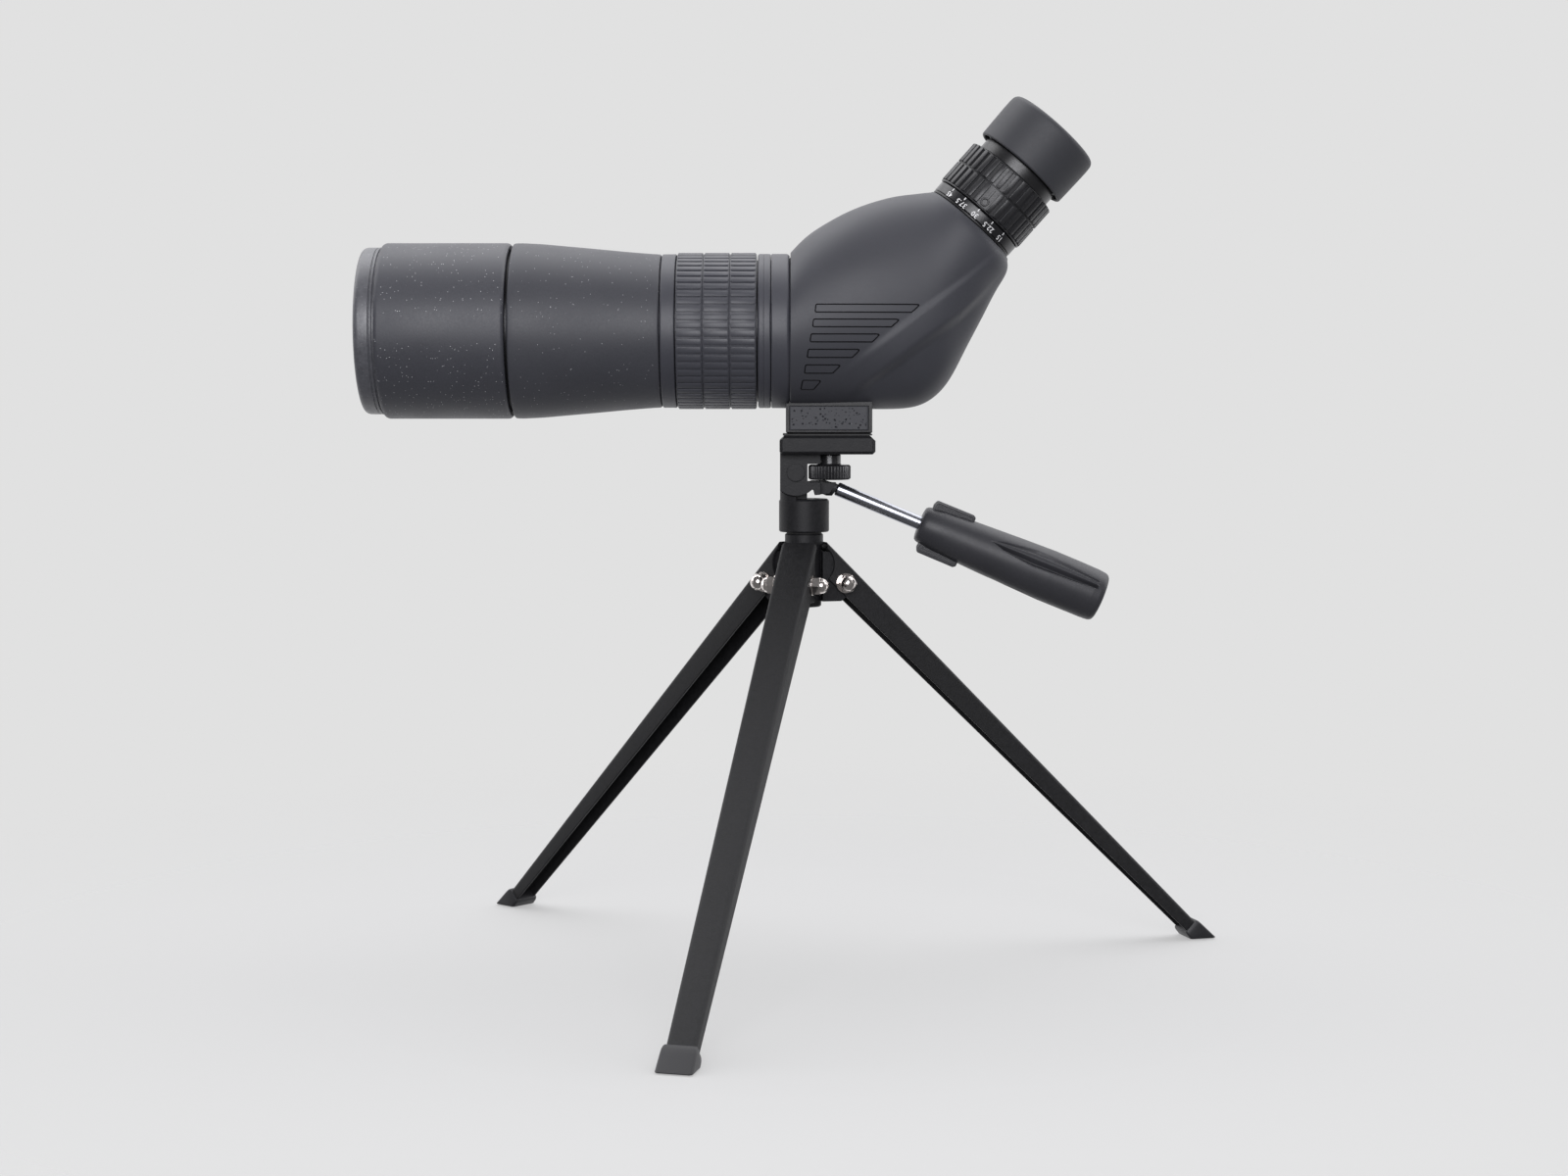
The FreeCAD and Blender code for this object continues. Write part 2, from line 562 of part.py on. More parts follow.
def pan_spindle():
    """Stepped spindle with a slotted head at its lower end."""
    spindle = cylinder(3.9, COLLAR_Z0 - SPRING_Z0, V(0, 0, SPRING_Z0))
    spindle = spindle.fuse(cylinder(2.95, 11.0, V(0, 0, COLLAR_Z0)))
    spindle = spindle.fuse(cylinder(5.4, 3.2, V(0, 0, SPINDLE_HEAD_Z)))
    return spindle.cut(box(-0.7, 0.7, -6, 6, SPINDLE_HEAD_Z, SPINDLE_HEAD_Z + 1.4))


save("pan_base", pan_base())
save("pan_friction_washer", ring(NECK_Z1 + 0.01, COLLAR_Z0 - 0.01, 4.1, 7.6))
save("pan_spindle", pan_spindle())
save("pan_spring_washer", ring(SPRING_Z0 + 0.05, SPRING_Z0 + 0.95, 4.1, 5.6))


# ------------------------------------------------------------ leg hub
def leg_point(along, out):
    """(radius, z) of a point down the leg from the hinge and out from it."""
    slope = math.radians(LEG_ANGLE)
    return (HINGE_R + math.cos(slope) * along + math.sin(slope) * out,
            HINGE_Z - math.sin(slope) * along + math.cos(slope) * out)


def hub_lug():
    """Hinge lug towards +X, rounded about the bolt."""
    outline = [(6.6, 177.2), (9.4, 177.2), leg_point(-11.6, LUG_R), leg_point(0.0, LUG_R)]
    for step in range(1, 9):
        angle = math.radians(90 - LEG_ANGLE - step * 12.0)
        outline.append((HINGE_R + LUG_R * math.cos(angle), HINGE_Z + LUG_R * math.sin(angle)))
    outline += [(15.0, 155.6), (6.6, 155.6)]
    lug = slab(outline, -LUG_Y, LUG_Y)
    lug = lug.cut(cross_cylinder(BOLT_HOLE_R, HINGE))
    return lug.cut(cylinder(6.2, 60, V(0, 0, 140)))


def leg_hub():
    hub = revolve([
        (4.0, COLUMN_Z0), (COLUMN_R - 0.6, COLUMN_Z0), (COLUMN_R, COLUMN_Z0 + 0.6),
        (COLUMN_R, 178.0), (NECK_R, NECK_Z0), (NECK_R, NECK_Z1 - 0.4),
        (NECK_R - 0.4, NECK_Z1), (4.0, NECK_Z1)])
    hub = hub.cut(cylinder(5.9, 167.0 - COLUMN_Z0, V(0, 0, COLUMN_Z0)))
    lug = hub_lug()
    for azimuth in LEG_AZIMUTH.values():
        hub = hub.fuse(turned(lug, azimuth))
    return hub


save("leg_hub", leg_hub())


# ------------------------------------------------------------ legs and feet
# A leg section is (distance along the leg, half width, low side, high side).
def leg_section(along, widen=0.0, lower=0.0, heighten=0.0):
    share = along / LEG_LENGTH
    return (along, (LEG_W0 + (LEG_W1 - LEG_W0) * share) / 2 + widen,
            -4.0 + 2.1 * share - lower, 6.9 - 3.1 * share + heighten)


def frustum(*sections):
    """Four-sided tapered solid between two leg sections."""
    wires = []
    for along, half_width, low, high in sections:
        corners = []
        for y, out in ((-half_width, low), (half_width, low),
                       (half_width, high), (-half_width, high)):
            radius, z = leg_point(along, out)
            corners.append(V(radius, y, z))
        corners.append(corners[0])
        wires.append(Part.makePolygon(corners))
    return Part.makeLoft(wires, True, True)


def below(height):
    """Everything lower than height above the ground."""
    return box(-50, 400, -100, 100, -60, height - GROUND)


def make_leg():
    """Channel-section leg towards +X, open underneath."""
    leg = frustum(leg_section(LEG_START), leg_section(LEG_END))
    leg = leg.cut(frustum(leg_section(LEG_START - 1, -LEG_WALL, 6, -LEG_WALL),
                          leg_section(LEG_END + 1, -LEG_WALL, 6, -LEG_WALL)))
    # upper end: trimmed to the neck, flanges scooped behind the bolt
    leg = leg.cut(cylinder(NECK_R + 0.05, 60, V(0, 0, 150)))
    leg = leg.cut(box(-40, NECK_R, -30, 30, 100, 260))
    leg = leg.cut(cross_cylinder(8.6, leg_point(-15.5, -3.6)))
    leg = leg.cut(cross_cylinder(BOLT_HOLE_R, HINGE))
    leg = leg.cut(below(1.6))
    # drop any scrap the trimming leaves
    return max(leg.Solids, key=lambda solid: solid.Volume)


def make_boot():
    """Foot with a pocket for the leg's lower end."""
    boot = frustum((BOOT_START, 7.1, -3.4, 5.0), (BOOT_END, 7.45, -3.7, 5.4))
    boot = boot.cut(below(0.0))
    gaps = (BOOT_GAP,) * 3
    pocket = frustum(leg_section(BOOT_START - 1, *gaps), leg_section(LEG_END + 0.3, *gaps))
    return boot.cut(pocket.cut(below(1.5)))


def acorn_nut(place):
    """Domed hexagon nut standing on its washer."""
    base, across_flats = 0.82, 7.0
    corner_r = across_flats / math.sqrt(3.0)
    angles = [math.radians(60 * k) for k in range(7)]
    hexagon = Part.makePolygon([V(corner_r * math.cos(angle), corner_r * math.sin(angle), base)
                                for angle in angles])
    body = Part.Face(hexagon).extrude(V(0, 0, 3.2))
    body = body.common(revolve([
        (0, base), (3.75, base), (4.2, 1.2), (4.2, 3.6), (3.6, 4.02), (0, 4.02)]))
    dome = revolve([(0, 3.5), (3.3, 3.5), (3.3, 4.4), (3.1, 5.3), (2.6, 6.1), (1.8, 6.7),
                    (0.9, 7.05), (0, 7.1)])
    nut = body.fuse(dome).cut(cylinder(BOLT_R + 0.02, 5.1, V(0, 0, 0)))
    nut.Placement = place
    return nut


leg = make_leg()
boot = make_boot()
bolt = cross_cylinder(BOLT_R, HINGE, -12.7, 12.7)
bolts, nuts, washers = [], [], []
for name, azimuth in LEG_AZIMUTH.items():
    save(name + "_leg", turned(leg, azimuth))
    save(name + "_foot", turned(boot, azimuth))
    bolts.append(turned(bolt, azimuth))
    for side in SIDES:
        flank = Placement(V(HINGE_R, side * (LEG_W0 / 2 + 0.02), HINGE_Z),
                          Rotation(Z_AXIS, V(0, side, 0)))
        washers.append(turned(ring(0.02, 0.8, BOLT_R + 0.05, 4.3, flank), azimuth))
        nuts.append(turned(acorn_nut(flank), azimuth))
save("hinge_bolts", Part.makeCompound(bolts))
save("acorn_nuts", Part.makeCompound(nuts))
save("bolt_washers", Part.makeCompound(washers))
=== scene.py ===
"""Spotting scope with sunshade, objective cap and angled eyepiece, on a low three-legged stand.

The objective faces -X, the eyepiece rises towards +X, +Z is up and the camera looks along +Y.
Sizes are in millimetres. Heights run from the drawing datum, which lies LIFT above the ground.
"""
import math
import random

import bmesh
import bpy
import numpy as np
from mathutils import Matrix, Vector, noise
from mathutils.geometry import delaunay_2d_cdt

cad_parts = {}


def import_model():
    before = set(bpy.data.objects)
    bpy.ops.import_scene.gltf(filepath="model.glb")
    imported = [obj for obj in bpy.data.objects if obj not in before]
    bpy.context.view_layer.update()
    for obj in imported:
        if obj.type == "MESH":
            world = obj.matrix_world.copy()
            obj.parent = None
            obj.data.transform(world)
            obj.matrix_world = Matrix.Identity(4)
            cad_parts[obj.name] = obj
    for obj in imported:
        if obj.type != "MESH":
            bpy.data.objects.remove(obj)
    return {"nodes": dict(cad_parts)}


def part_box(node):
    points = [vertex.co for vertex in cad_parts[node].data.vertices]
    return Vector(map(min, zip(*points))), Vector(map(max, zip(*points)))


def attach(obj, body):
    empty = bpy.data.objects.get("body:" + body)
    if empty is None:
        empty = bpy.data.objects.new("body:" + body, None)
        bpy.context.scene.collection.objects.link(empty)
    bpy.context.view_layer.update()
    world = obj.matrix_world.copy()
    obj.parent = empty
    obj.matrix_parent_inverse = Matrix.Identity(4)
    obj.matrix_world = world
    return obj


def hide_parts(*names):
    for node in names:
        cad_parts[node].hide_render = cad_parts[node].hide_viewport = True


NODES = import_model()["nodes"]
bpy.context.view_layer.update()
scene = bpy.context.scene
rad = math.radians
random.seed(7)

# ---------------------------------------------------------------- placement
MM = 0.001
BARREL_Z = 272.3                             # height of the barrel axis
EYEPIECE_X, EYEPIECE_RISE = 30.6, 48.3       # where its axis leaves the barrel's, degrees up
HANDLE_TURN = 112.5                          # degrees from +Z towards +X
HINGE_R, HINGE_Z = 16.5, 163.5               # leg hinges about the stand's axis
LEG_SLOPE, LEG_LENGTH = 44.25, 238.9         # degrees below level
LEG_BEARINGS = {"right": 16.0, "left": 138.0, "front": 255.3}

_lo, _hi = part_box("sunshade")
LIFT = (_lo.z + _hi.z) / 2 / MM - BARREL_Z


def box(node):
    """Low and high corners of a frame node, from the drawing datum."""
    lo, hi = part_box(node)
    lift = Vector((0, 0, LIFT))
    return lo / MM - lift, hi / MM - lift


def span(node, axis=0):
    lo, hi = box(node)
    return lo[axis], hi[axis]


def middle(node, axis):
    return sum(span(node, axis)) / 2


def place(x, z, turn):
    """Frame in millimetres whose z axis is turned from +Z towards +X."""
    return (Matrix.Translation((x * MM, 0, (z + LIFT) * MM)) @ Matrix.Rotation(rad(turn), 4, "Y")
            @ Matrix.Scale(MM, 4))


UPRIGHT = Matrix.Translation((0, 0, LIFT * MM)) @ Matrix.Scale(MM, 4)
BARREL = place(0, BARREL_Z, 90)
EYEPIECE = place(EYEPIECE_X, BARREL_Z, 90 - EYEPIECE_RISE)
HANDLE = place(middle("tilt_pin", 0), middle("tilt_pin", 2), HANDLE_TURN)
KNOB = Matrix.Translation((middle("clamp_knob", 0) * MM, 0, 0)) @ UPRIGHT


# ---------------------------------------------------------------- materials
def feed(tree, target, inputs):
    """Fill a node's inputs: sockets are linked, anything else is a value."""
    for key, value in inputs.items():
        if isinstance(value, bpy.types.NodeSocket):
            tree.links.new(value, target.inputs[key])
        else:
            target.inputs[key].default_value = value


def add_node(tree, kind, inputs=None, **settings):
    made = tree.nodes.new("ShaderNode" + kind)
    for key, value in settings.items():
        setattr(made, key, value)
    feed(tree, made, inputs or {})
    return made


def compute(tree, operation, first, second):
    return add_node(tree, "Math", {0: first, 1: second}, operation=operation).outputs[0]


def ramp(tree, factor, stops):
    """Colour ramp; stops are (position, grey or RGB)."""
    made = add_node(tree, "ValToRGB", {0: factor})
    elements = made.color_ramp.elements
    while len(elements) < len(stops):
        elements.new(0.5)
    for element, (position, tone) in zip(elements, stops):
        element.position = position
        element.color = (tone, tone, tone, 1) if isinstance(tone, float) else (*tone, 1)
    return made.outputs[0]


def overlay(tree, mask, under, colour):
    """Mix a plain colour over another one where the mask is 1."""
    inputs = {"Factor": mask, 6: under, 7: (*colour, 1)}
    return add_node(tree, "Mix", inputs, data_type="RGBA").outputs[2]


def relief(tree, height, depth, normal):
    """Bump of a depth in millimetres, on top of another normal if there is one."""
    inputs = {"Strength": 1.0, "Distance": depth * MM, "Height": height}
    if normal:
        inputs["Normal"] = normal
    return add_node(tree, "Bump", inputs).outputs["Normal"]


def new_material(name):
    material = bpy.data.materials.new(name)
    material.use_nodes = True
    return material, material.node_tree, material.node_tree.nodes["Principled BSDF"]


def finish(name, *, colour, rough, grain, grain_depth, drift, drift_depth=0.0, vary=0.12,
           rough_vary=0.08, metal=0.0, specular=0.5, coat=0.0, specks=0.0, speck_scale=0.0,
           speck_colour=None, sparkle=0.0, edge_radius=0.0):
    """Moulded or coated finish. grain and drift are the scales of the fine and the broad noise,
    depths and edge_radius are millimetres, specks and sparkle are shares of the cells."""
    material, tree, surface = new_material(name)
    where = add_node(tree, "TexCoord").outputs["Object"]
    broad = add_node(tree, "TexNoise", {"Vector": where, "Scale": drift, "Detail": 3.0})
    fine = add_node(tree, "TexNoise",
                    {"Vector": where, "Scale": grain, "Detail": 2.0, "Roughness": 0.6})
    broad, fine = broad.outputs["Fac"], fine.outputs["Fac"]
    mottle = compute(tree, "ADD", compute(tree, "MULTIPLY", fine, 0.6),
                     compute(tree, "MULTIPLY", broad, 0.4))
    tone = ramp(tree, mottle, [(0.3, tuple(c * (1 - vary) for c in colour)),
                               (0.7, tuple(c * (1 + vary) for c in colour))])
    roughness = ramp(tree, mottle, [(0.3, rough - rough_vary), (0.7, rough + rough_vary)])
    if specks > 0:
        # a dot in the middle of some of the cells
        cells = add_node(tree, "TexVoronoi", {"Vector": where, "Scale": speck_scale})
        dot = ramp(tree, cells.outputs["Distance"], [(0.10, 1.0), (0.15, 0.0)])
        chosen = ramp(tree, cells.outputs["Color"], [(1 - specks, 0.0), (1 - specks + 0.02, 1.0)])
        tone = overlay(tree, compute(tree, "MULTIPLY", dot, chosen), tone, speck_colour)
    if sparkle > 0:
        # painted glints: whole grains painted much paler than the rest
        cells = add_node(tree, "TexVoronoi", {"Vector": where, "Scale": grain * 0.9})
        glint = ramp(tree, cells.outputs["Color"],
                     [(1 - sparkle, 0.0), (min(1.0, 1 - sparkle + 0.03), 1.0)])
        tone = overlay(tree, glint, tone, [c * 5 + 0.03 for c in colour])
    normal = None
    if edge_radius > 0:
        bevel = add_node(tree, "Bevel", {"Radius": edge_radius * MM}, samples=4)
        normal = bevel.outputs["Normal"]
    if drift_depth > 0:
        normal = relief(tree, broad, drift_depth, normal)
    feed(tree, surface, {
        "Base Color": tone, "Roughness": roughness, "Metallic": metal,
        "Specular IOR Level": specular, "Coat Weight": coat, "Coat Roughness": 0.1,
        "Normal": relief(tree, fine, grain_depth, normal)})
    material.diffuse_color = (*colour, 1)
    return material


def glass(name, tint):
    """Dark coated glass; the tint shows between face-on and grazing views."""
    material, tree, surface = new_material(name)
    facing = add_node(tree, "LayerWeight", {"Blend": 0.35}).outputs["Facing"]
    feed(tree, surface, {
        "Base Color": (0.012, 0.014, 0.02, 1), "Roughness": 0.03, "Specular IOR Level": 0.7,
        "Coat Weight": 1.0, "Coat Roughness": 0.02, "Coat Tint": (0.75, 0.85, 1.0, 1)})
    colour = ramp(tree, facing, [(0.0, (0.010, 0.020, 0.030)), (0.5, tint), (1.0, (0.09, 0.05, 0.10))])
    feed(tree, surface, {"Base Color": colour})
    return material


FINISHES = {
    "hood_rubber": dict(
        colour=(0.050, 0.051, 0.061), rough=0.48, grain=1300, grain_depth=0.022, drift=45,
        vary=0.10, specks=0.46, speck_scale=820, speck_colour=(0.60, 0.60, 0.62)),
    "armour_rubber": dict(
        colour=(0.049, 0.050, 0.059), rough=0.50, specular=0.42, grain=1400, grain_depth=0.016,
        drift=40, vary=0.10, specks=0.29, speck_scale=850, speck_colour=(0.46, 0.46, 0.48)),
    "housing_rubber": dict(
        colour=(0.047, 0.048, 0.057), rough=0.50, specular=0.42, grain=1900, grain_depth=0.008,
        drift=35, vary=0.08),
    "ring_rubber": dict(
        colour=(0.048, 0.049, 0.060), rough=0.46, grain=1900, grain_depth=0.006, drift=60,
        vary=0.08),
    "focus_grip_rubber": dict(
        colour=(0.052, 0.053, 0.064), rough=0.44, grain=1800, grain_depth=0.006, drift=90),
    "zoom_grip_rubber": dict(
        colour=(0.017, 0.017, 0.019), rough=0.38, grain=1600, grain_depth=0.006, drift=120,
        vary=0.15),
    "eyecup_rubber": dict(
        colour=(0.040, 0.041, 0.047), rough=0.56, specular=0.42, grain=1500, grain_depth=0.006,
        drift=50, vary=0.08),
    "cap_plastic": dict(
        colour=(0.078, 0.079, 0.090), rough=0.40, specular=0.8, grain=800, grain_depth=0.05,
        drift=300, drift_depth=0.03, vary=0.2, specks=0.34, speck_scale=1000,
        speck_colour=(0.34, 0.34, 0.35)),
    "black_moulding": dict(
        colour=(0.011, 0.011, 0.012), rough=0.40, specular=0.35, grain=1600, grain_depth=0.006,
        drift=80, edge_radius=0.35),
    "inner_moulding": dict(
        colour=(0.022, 0.022, 0.023), rough=0.6, grain=1500, grain_depth=0.01, drift=80),
    # sparkle paints a few grains pale, as glints
    "pitted_plastic": dict(
        colour=(0.054, 0.055, 0.062), rough=0.60, specular=0.4, grain=2300, grain_depth=0.03,
        drift=700, sparkle=0.02),
    "scale_black": dict(
        colour=(0.012, 0.012, 0.014), rough=0.30, grain=1500, grain_depth=0.003, drift=80),
    "gloss_black": dict(
        colour=(0.013, 0.013, 0.014), rough=0.33, grain=1200, grain_depth=0.002, drift=120),
    "handle_plastic": dict(
        colour=(0.036, 0.036, 0.041), rough=0.43, specular=0.36, grain=1500, grain_depth=0.010,
        drift=60, vary=0.10),
    "handle_wing_plastic": dict(
        colour=(0.032, 0.032, 0.036), rough=0.45, grain=1500, grain_depth=0.008, drift=60,
        vary=0.10),
    "powder_coat": dict(
        colour=(0.012, 0.012, 0.0135), rough=0.50, specular=0.26, grain=1500, grain_depth=0.07,
        drift=520, drift_depth=0.03, vary=0.45, edge_radius=0.45),
    "leg_coat": dict(
        colour=(0.011, 0.011, 0.012), rough=0.58, specular=0.34, grain=1500, grain_depth=0.085,
        drift=520, drift_depth=0.03, vary=0.5),
    "foot_rubber": dict(
        colour=(0.016, 0.016, 0.018), rough=0.50, grain=1500, grain_depth=0.010, drift=90),
    "anodised_tube": dict(
        colour=(0.020, 0.020, 0.022), rough=0.34, metal=0.6, grain=2000, grain_depth=0.002,
        drift=80),
    "zinc_steel": dict(
        colour=(0.58, 0.58, 0.60), rough=0.28, metal=1.0, grain=900, grain_depth=0.002,
        drift=200, vary=0.1),
    # spare finish, on no piece
    "blackened_pin": dict(
        colour=(0.009, 0.009, 0.010), rough=0.45, specular=0.2, grain=1300, grain_depth=0.01,
        drift=200, edge_radius=0.3),
    "groove_shadow": dict(
        colour=(0.010, 0.010, 0.012), rough=0.75, specular=0.2, grain=1900, grain_depth=0.004,
        drift=60),
    "nickel_plate": dict(
        colour=(0.76, 0.71, 0.68), rough=0.16, metal=1.0, grain=700, grain_depth=0.002,
        drift=260, vary=0.06, rough_vary=0.05, edge_radius=0.18),
    "chrome_plate": dict(
        colour=(0.38, 0.39, 0.43), rough=0.25, metal=1.0, grain=500, grain_depth=0.001,
        drift=200, vary=0.03, rough_vary=0.03),
    "turned_brass": dict(
        colour=(0.70, 0.52, 0.24), rough=0.25, metal=1.0, grain=900, grain_depth=0.002,
        drift=200),
    "knob_black": dict(
        colour=(0.022, 0.022, 0.024), rough=0.30, grain=1400, grain_depth=0.003, drift=200,
        coat=0.3),
    "seal_rubber": dict(
        colour=(0.03, 0.03, 0.03), rough=0.7, grain=1500, grain_depth=0.01, drift=100),
    "scale_paint": dict(
        colour=(0.80, 0.80, 0.80), rough=0.5, grain=1500, grain_depth=0.002, drift=400,
        vary=0.05),
}
MATERIALS = {name: finish(name, **look) for name, look in FINISHES.items()}
MATERIALS["coated_glass"] = glass("coated_glass", tint=(0.02, 0.03, 0.07))
MATERIALS["prism_glass"] = glass("prism_glass", tint=(0.03, 0.05, 0.06))


# ---------------------------------------------------------------- mesh kit
def publish(mesh, name, material, slot, node, body, angle):
    """Shade a mesh, make its object and tell the frame about it."""
    mesh.materials.append(MATERIALS[material])
    mesh.shade_smooth()
    mesh.set_sharp_from_angle(angle=rad(angle))
    made = bpy.data.objects.new(name, mesh)
    scene.collection.objects.link(made)
    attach(made, body)
    if node:
        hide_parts(node)
    return made


def piece(name, verts, faces, frame, material, slot, node=None, body="scope", angle=32,
          recalc=True):
    """Mesh object from points in a millimetre frame; node is the CAD node it replaces."""
    mesh = bpy.data.meshes.new(name)
    matrix = np.array(frame)
    verts = (np.asarray(verts, float) @ matrix[:3, :3].T + matrix[:3, 3]).tolist()
    mesh.from_pydata([tuple(v) for v in verts], [], [tuple(f) for f in faces])
    mesh.validate()
    if recalc:
        bm = bmesh.new()
        bm.from_mesh(mesh)
        bmesh.ops.recalc_face_normals(bm, faces=bm.faces)
        bm.to_mesh(mesh)
        bm.free()
    return publish(mesh, name, material, slot, node, body, angle)


def corner_curve(start, corner, end, steps):
    """Quadratic curve that rounds a corner."""
    curve = []
    for j in range(steps + 1):
        u = j / steps
        point = start * (1 - u) ** 2 + corner * 2 * u * (1 - u) + end * u * u
        curve.append((point.x, point.y))
    return curve


def soften(profile, closed=True, steps=4):
    """Profile of (r, z[, corner radius]) with its corners rounded."""
    out = []
    count = len(profile)
    for i, point in enumerate(profile):
        radius = point[2] if len(point) > 2 else 0.0
        if radius <= 0 or (not closed and i in (0, count - 1)):
            out.append((point[0], point[1]))
            continue
        corner, before, after = (Vector(p[:2]) for p in (point, profile[i - 1],
                                                         profile[(i + 1) % count]))
        cut = min(radius, (before - corner).length * 0.48, (after - corner).length * 0.48)
        out += corner_curve(corner + (before - corner).normalized() * cut, corner,
                            corner + (after - corner).normalized() * cut, steps)
    return out


def revolve(points, steps, closed=True, radius_at=None):
    """Turn (r, z) points about z; a point on the axis becomes one vertex."""
    verts, rows = [], []
    for r, z in points:
        if r < 1e-4:
            rows.append([len(verts)] * steps)
            verts.append((0, 0, z))
            continue
        rows.append([len(verts) + j for j in range(steps)])
        for j in range(steps):
            a = 2 * math.pi * j / steps
            radius = radius_at(r, z, a) if radius_at else r
            verts.append((radius * math.cos(a), radius * math.sin(a), z))
    faces = []
    for i in range(len(points) if closed else len(points) - 1):
        low, high = rows[i], rows[(i + 1) % len(points)]
        for j in range(steps):
            k = (j + 1) % steps
            face = [low[j], low[k], high[k], high[j]]
            face = [v for q, v in enumerate(face) if v != face[q - 1]]
            if len(set(face)) >= 3:
                faces.append(face)
    return verts, faces


def lathe(name, profile, frame, material, slot, node, body="scope", steps=192, closed=True,
          angle=32, radius_at=None, rounding=4):
    """Turned piece. profile: (r, z[, corner radius]); radius_at(r, z, angle) may move r."""
    verts, faces = revolve(soften(profile, closed, rounding), steps, closed, radius_at)
    return piece(name, verts, faces, frame, material, slot, node, body, angle)


class Parts:
    """Collects the vertices and faces of one piece."""

    def __init__(self):
        self.verts, self.faces = [], []

    def add(self, verts, faces):
        first = len(self.verts)
        self.verts += [tuple(v) for v in verts]
        self.faces += [[i + first for i in face] for face in faces]


def walls(low, high, count):
    """Quads between two closed rings, given by their first vertices."""
    return [[low + j, low + (j + 1) % count, high + (j + 1) % count, high + j]
            for j in range(count)]


def loft(rings):
    count = len(rings[0])
    faces = []
    for i in range(len(rings) - 1):
        faces += walls(i * count, (i + 1) * count, count)
    return [v for ring in rings for v in ring], faces


def capped_loft(rings):
    verts, faces = loft(rings)
    count = len(rings[0])
    faces.append(list(range(count)))
    faces.append(list(range(len(verts) - count, len(verts)))[::-1])
    return verts, faces


def arc(x, y, radius, start, sweep, steps):
    angles = [rad(start + sweep * i / steps) for i in range(steps + 1)]
    return [(x + radius * math.cos(a), y + radius * math.sin(a)) for a in angles]


def round_rect(half_x, half_y, radius, steps):
    """Outline of a rounded rectangle, anticlockwise."""
    radius = min(radius, half_x * 0.98, half_y * 0.98)
    x, y = half_x - radius, half_y - radius
    out = []
    for centre_x, centre_y, start in ((x, y, 0), (-x, y, 90), (-x, -y, 180), (x, -y, 270)):
        out += arc(centre_x, centre_y, radius, start, 90, steps)
    return out


def button(parts, outline, levels, wrap):
    """Raised pad: outline(inset) gives its outline, levels are (inset, height)
    from the base up, wrap(u, v, height) puts a point on the surface."""
    rings = [[wrap(u, v, height) for u, v in outline(inset)] for inset, height in levels]
    verts, faces = loft(rings)
    count = len(rings[0])
    faces.append(list(range(len(verts) - count, len(verts))))
    faces.append(list(range(count))[::-1])
    parts.add(verts, faces)


def on_cylinder(base, top, bearing, centre):
    """Wrap for a button: u around and v along from a point at a bearing and a z."""
    def wrap(u, v, height):
        radius = base + height
        a = bearing + u / (base + top)
        return radius * math.cos(a), radius * math.sin(a), centre + v
    return wrap


def pad_ring(rows, count, half_width, half_length, base, top, corner, skip=None):
    """Rows of raised pads around a cylinder of radius base."""
    parts = Parts()
    for z in rows:
        for i in range(count):
            bearing = 2 * math.pi * (i + 0.5) / count
            if skip and skip(z, bearing):
                continue
            button(parts,
                   lambda inset: round_rect(half_width - inset, half_length - inset,
                                            max(corner - inset * 0.7, 0.12), 3),
                   [(-0.05, -0.12), (0.0, top - 0.13), (0.04, top - 0.04), (0.12, top)],
                   on_cylinder(base, top, bearing, z))
    return parts


def extrude_rim(bm, rim):
    """Extrude a rim; returns the new vertices and edges."""
    made = bmesh.ops.extrude_edge_only(bm, edges=rim)["geom"]
    return ([g for g in made if isinstance(g, bmesh.types.BMVert)],
            [g for g in made if isinstance(g, bmesh.types.BMEdge)])


def trim(bm, point, normal):
    """Cut away everything on the normal's side of a plane (metres)."""
    bmesh.ops.bisect_plane(bm, geom=bm.verts[:] + bm.edges[:] + bm.faces[:], plane_co=point,
                           plane_no=normal, clear_outer=True, dist=1e-7)


# ---------------------------------------------------------------- outlines
def inside(polygon, x, z):
    x, z = np.asarray(x, float), np.asarray(z, float)
    result = np.zeros(x.shape, bool)
    for i in range(len(polygon)):
        (x0, z0), (x1, z1) = polygon[i - 1], polygon[i]
        rise = (z1 - z0) if z1 != z0 else 1e-9
        result ^= ((z0 > z) != (z1 > z)) & (x < (x1 - x0) * (z - z0) / rise + x0)
    return result


def offset_outline(polygon, inset, radius=0.0, steps=4):
    """Convex polygon moved inwards by inset, corners rounded by radius."""
    area = sum(polygon[i - 1][0] * polygon[i][1] - polygon[i][0] * polygon[i - 1][1]
               for i in range(len(polygon)))
    points = [Vector(p) for p in (polygon if area > 0 else polygon[::-1])]
    count = len(points)
    lines = []
    for i in range(count):
        along = (points[(i + 1) % count] - points[i]).normalized()
        lines.append((points[i] + Vector((-along.y, along.x)) * inset, along))
    corners = []
    for i in range(count):
        (a, t), (b, u) = lines[i - 1], lines[i]
        corners.append(a + t * (((b.x - a.x) * u.y - (b.y - a.y) * u.x)
                                / (t.x * u.y - t.y * u.x)))
    out = []
    for i in range(count):
        corner, before, after = corners[i], corners[i - 1], corners[(i + 1) % count]
        back, ahead = (before - corner).normalized(), (after - corner).normalized()
        cut = 0
        if radius > 0:
            angle = math.acos(max(-1, min(1, back.dot(ahead))))
            cut = min(radius / math.tan(angle / 2), (before - corner).length * 0.45,
                      (after - corner).length * 0.45)
        if cut <= 1e-6:
            out.append((corner.x, corner.y))
        else:
            out += corner_curve(corner + back * cut, corner, corner + ahead * cut, steps)
    return out


def dense(loop, step):
    """Closed loop with its sides divided to about a step."""
    out = []
    for i in range(len(loop)):
        start, end = Vector(loop[i]), Vector(loop[(i + 1) % len(loop)])
        count = max(1, int((end - start).length / step))
        out += [tuple(start.lerp(end, j / count)) for j in range(count)]
    return out


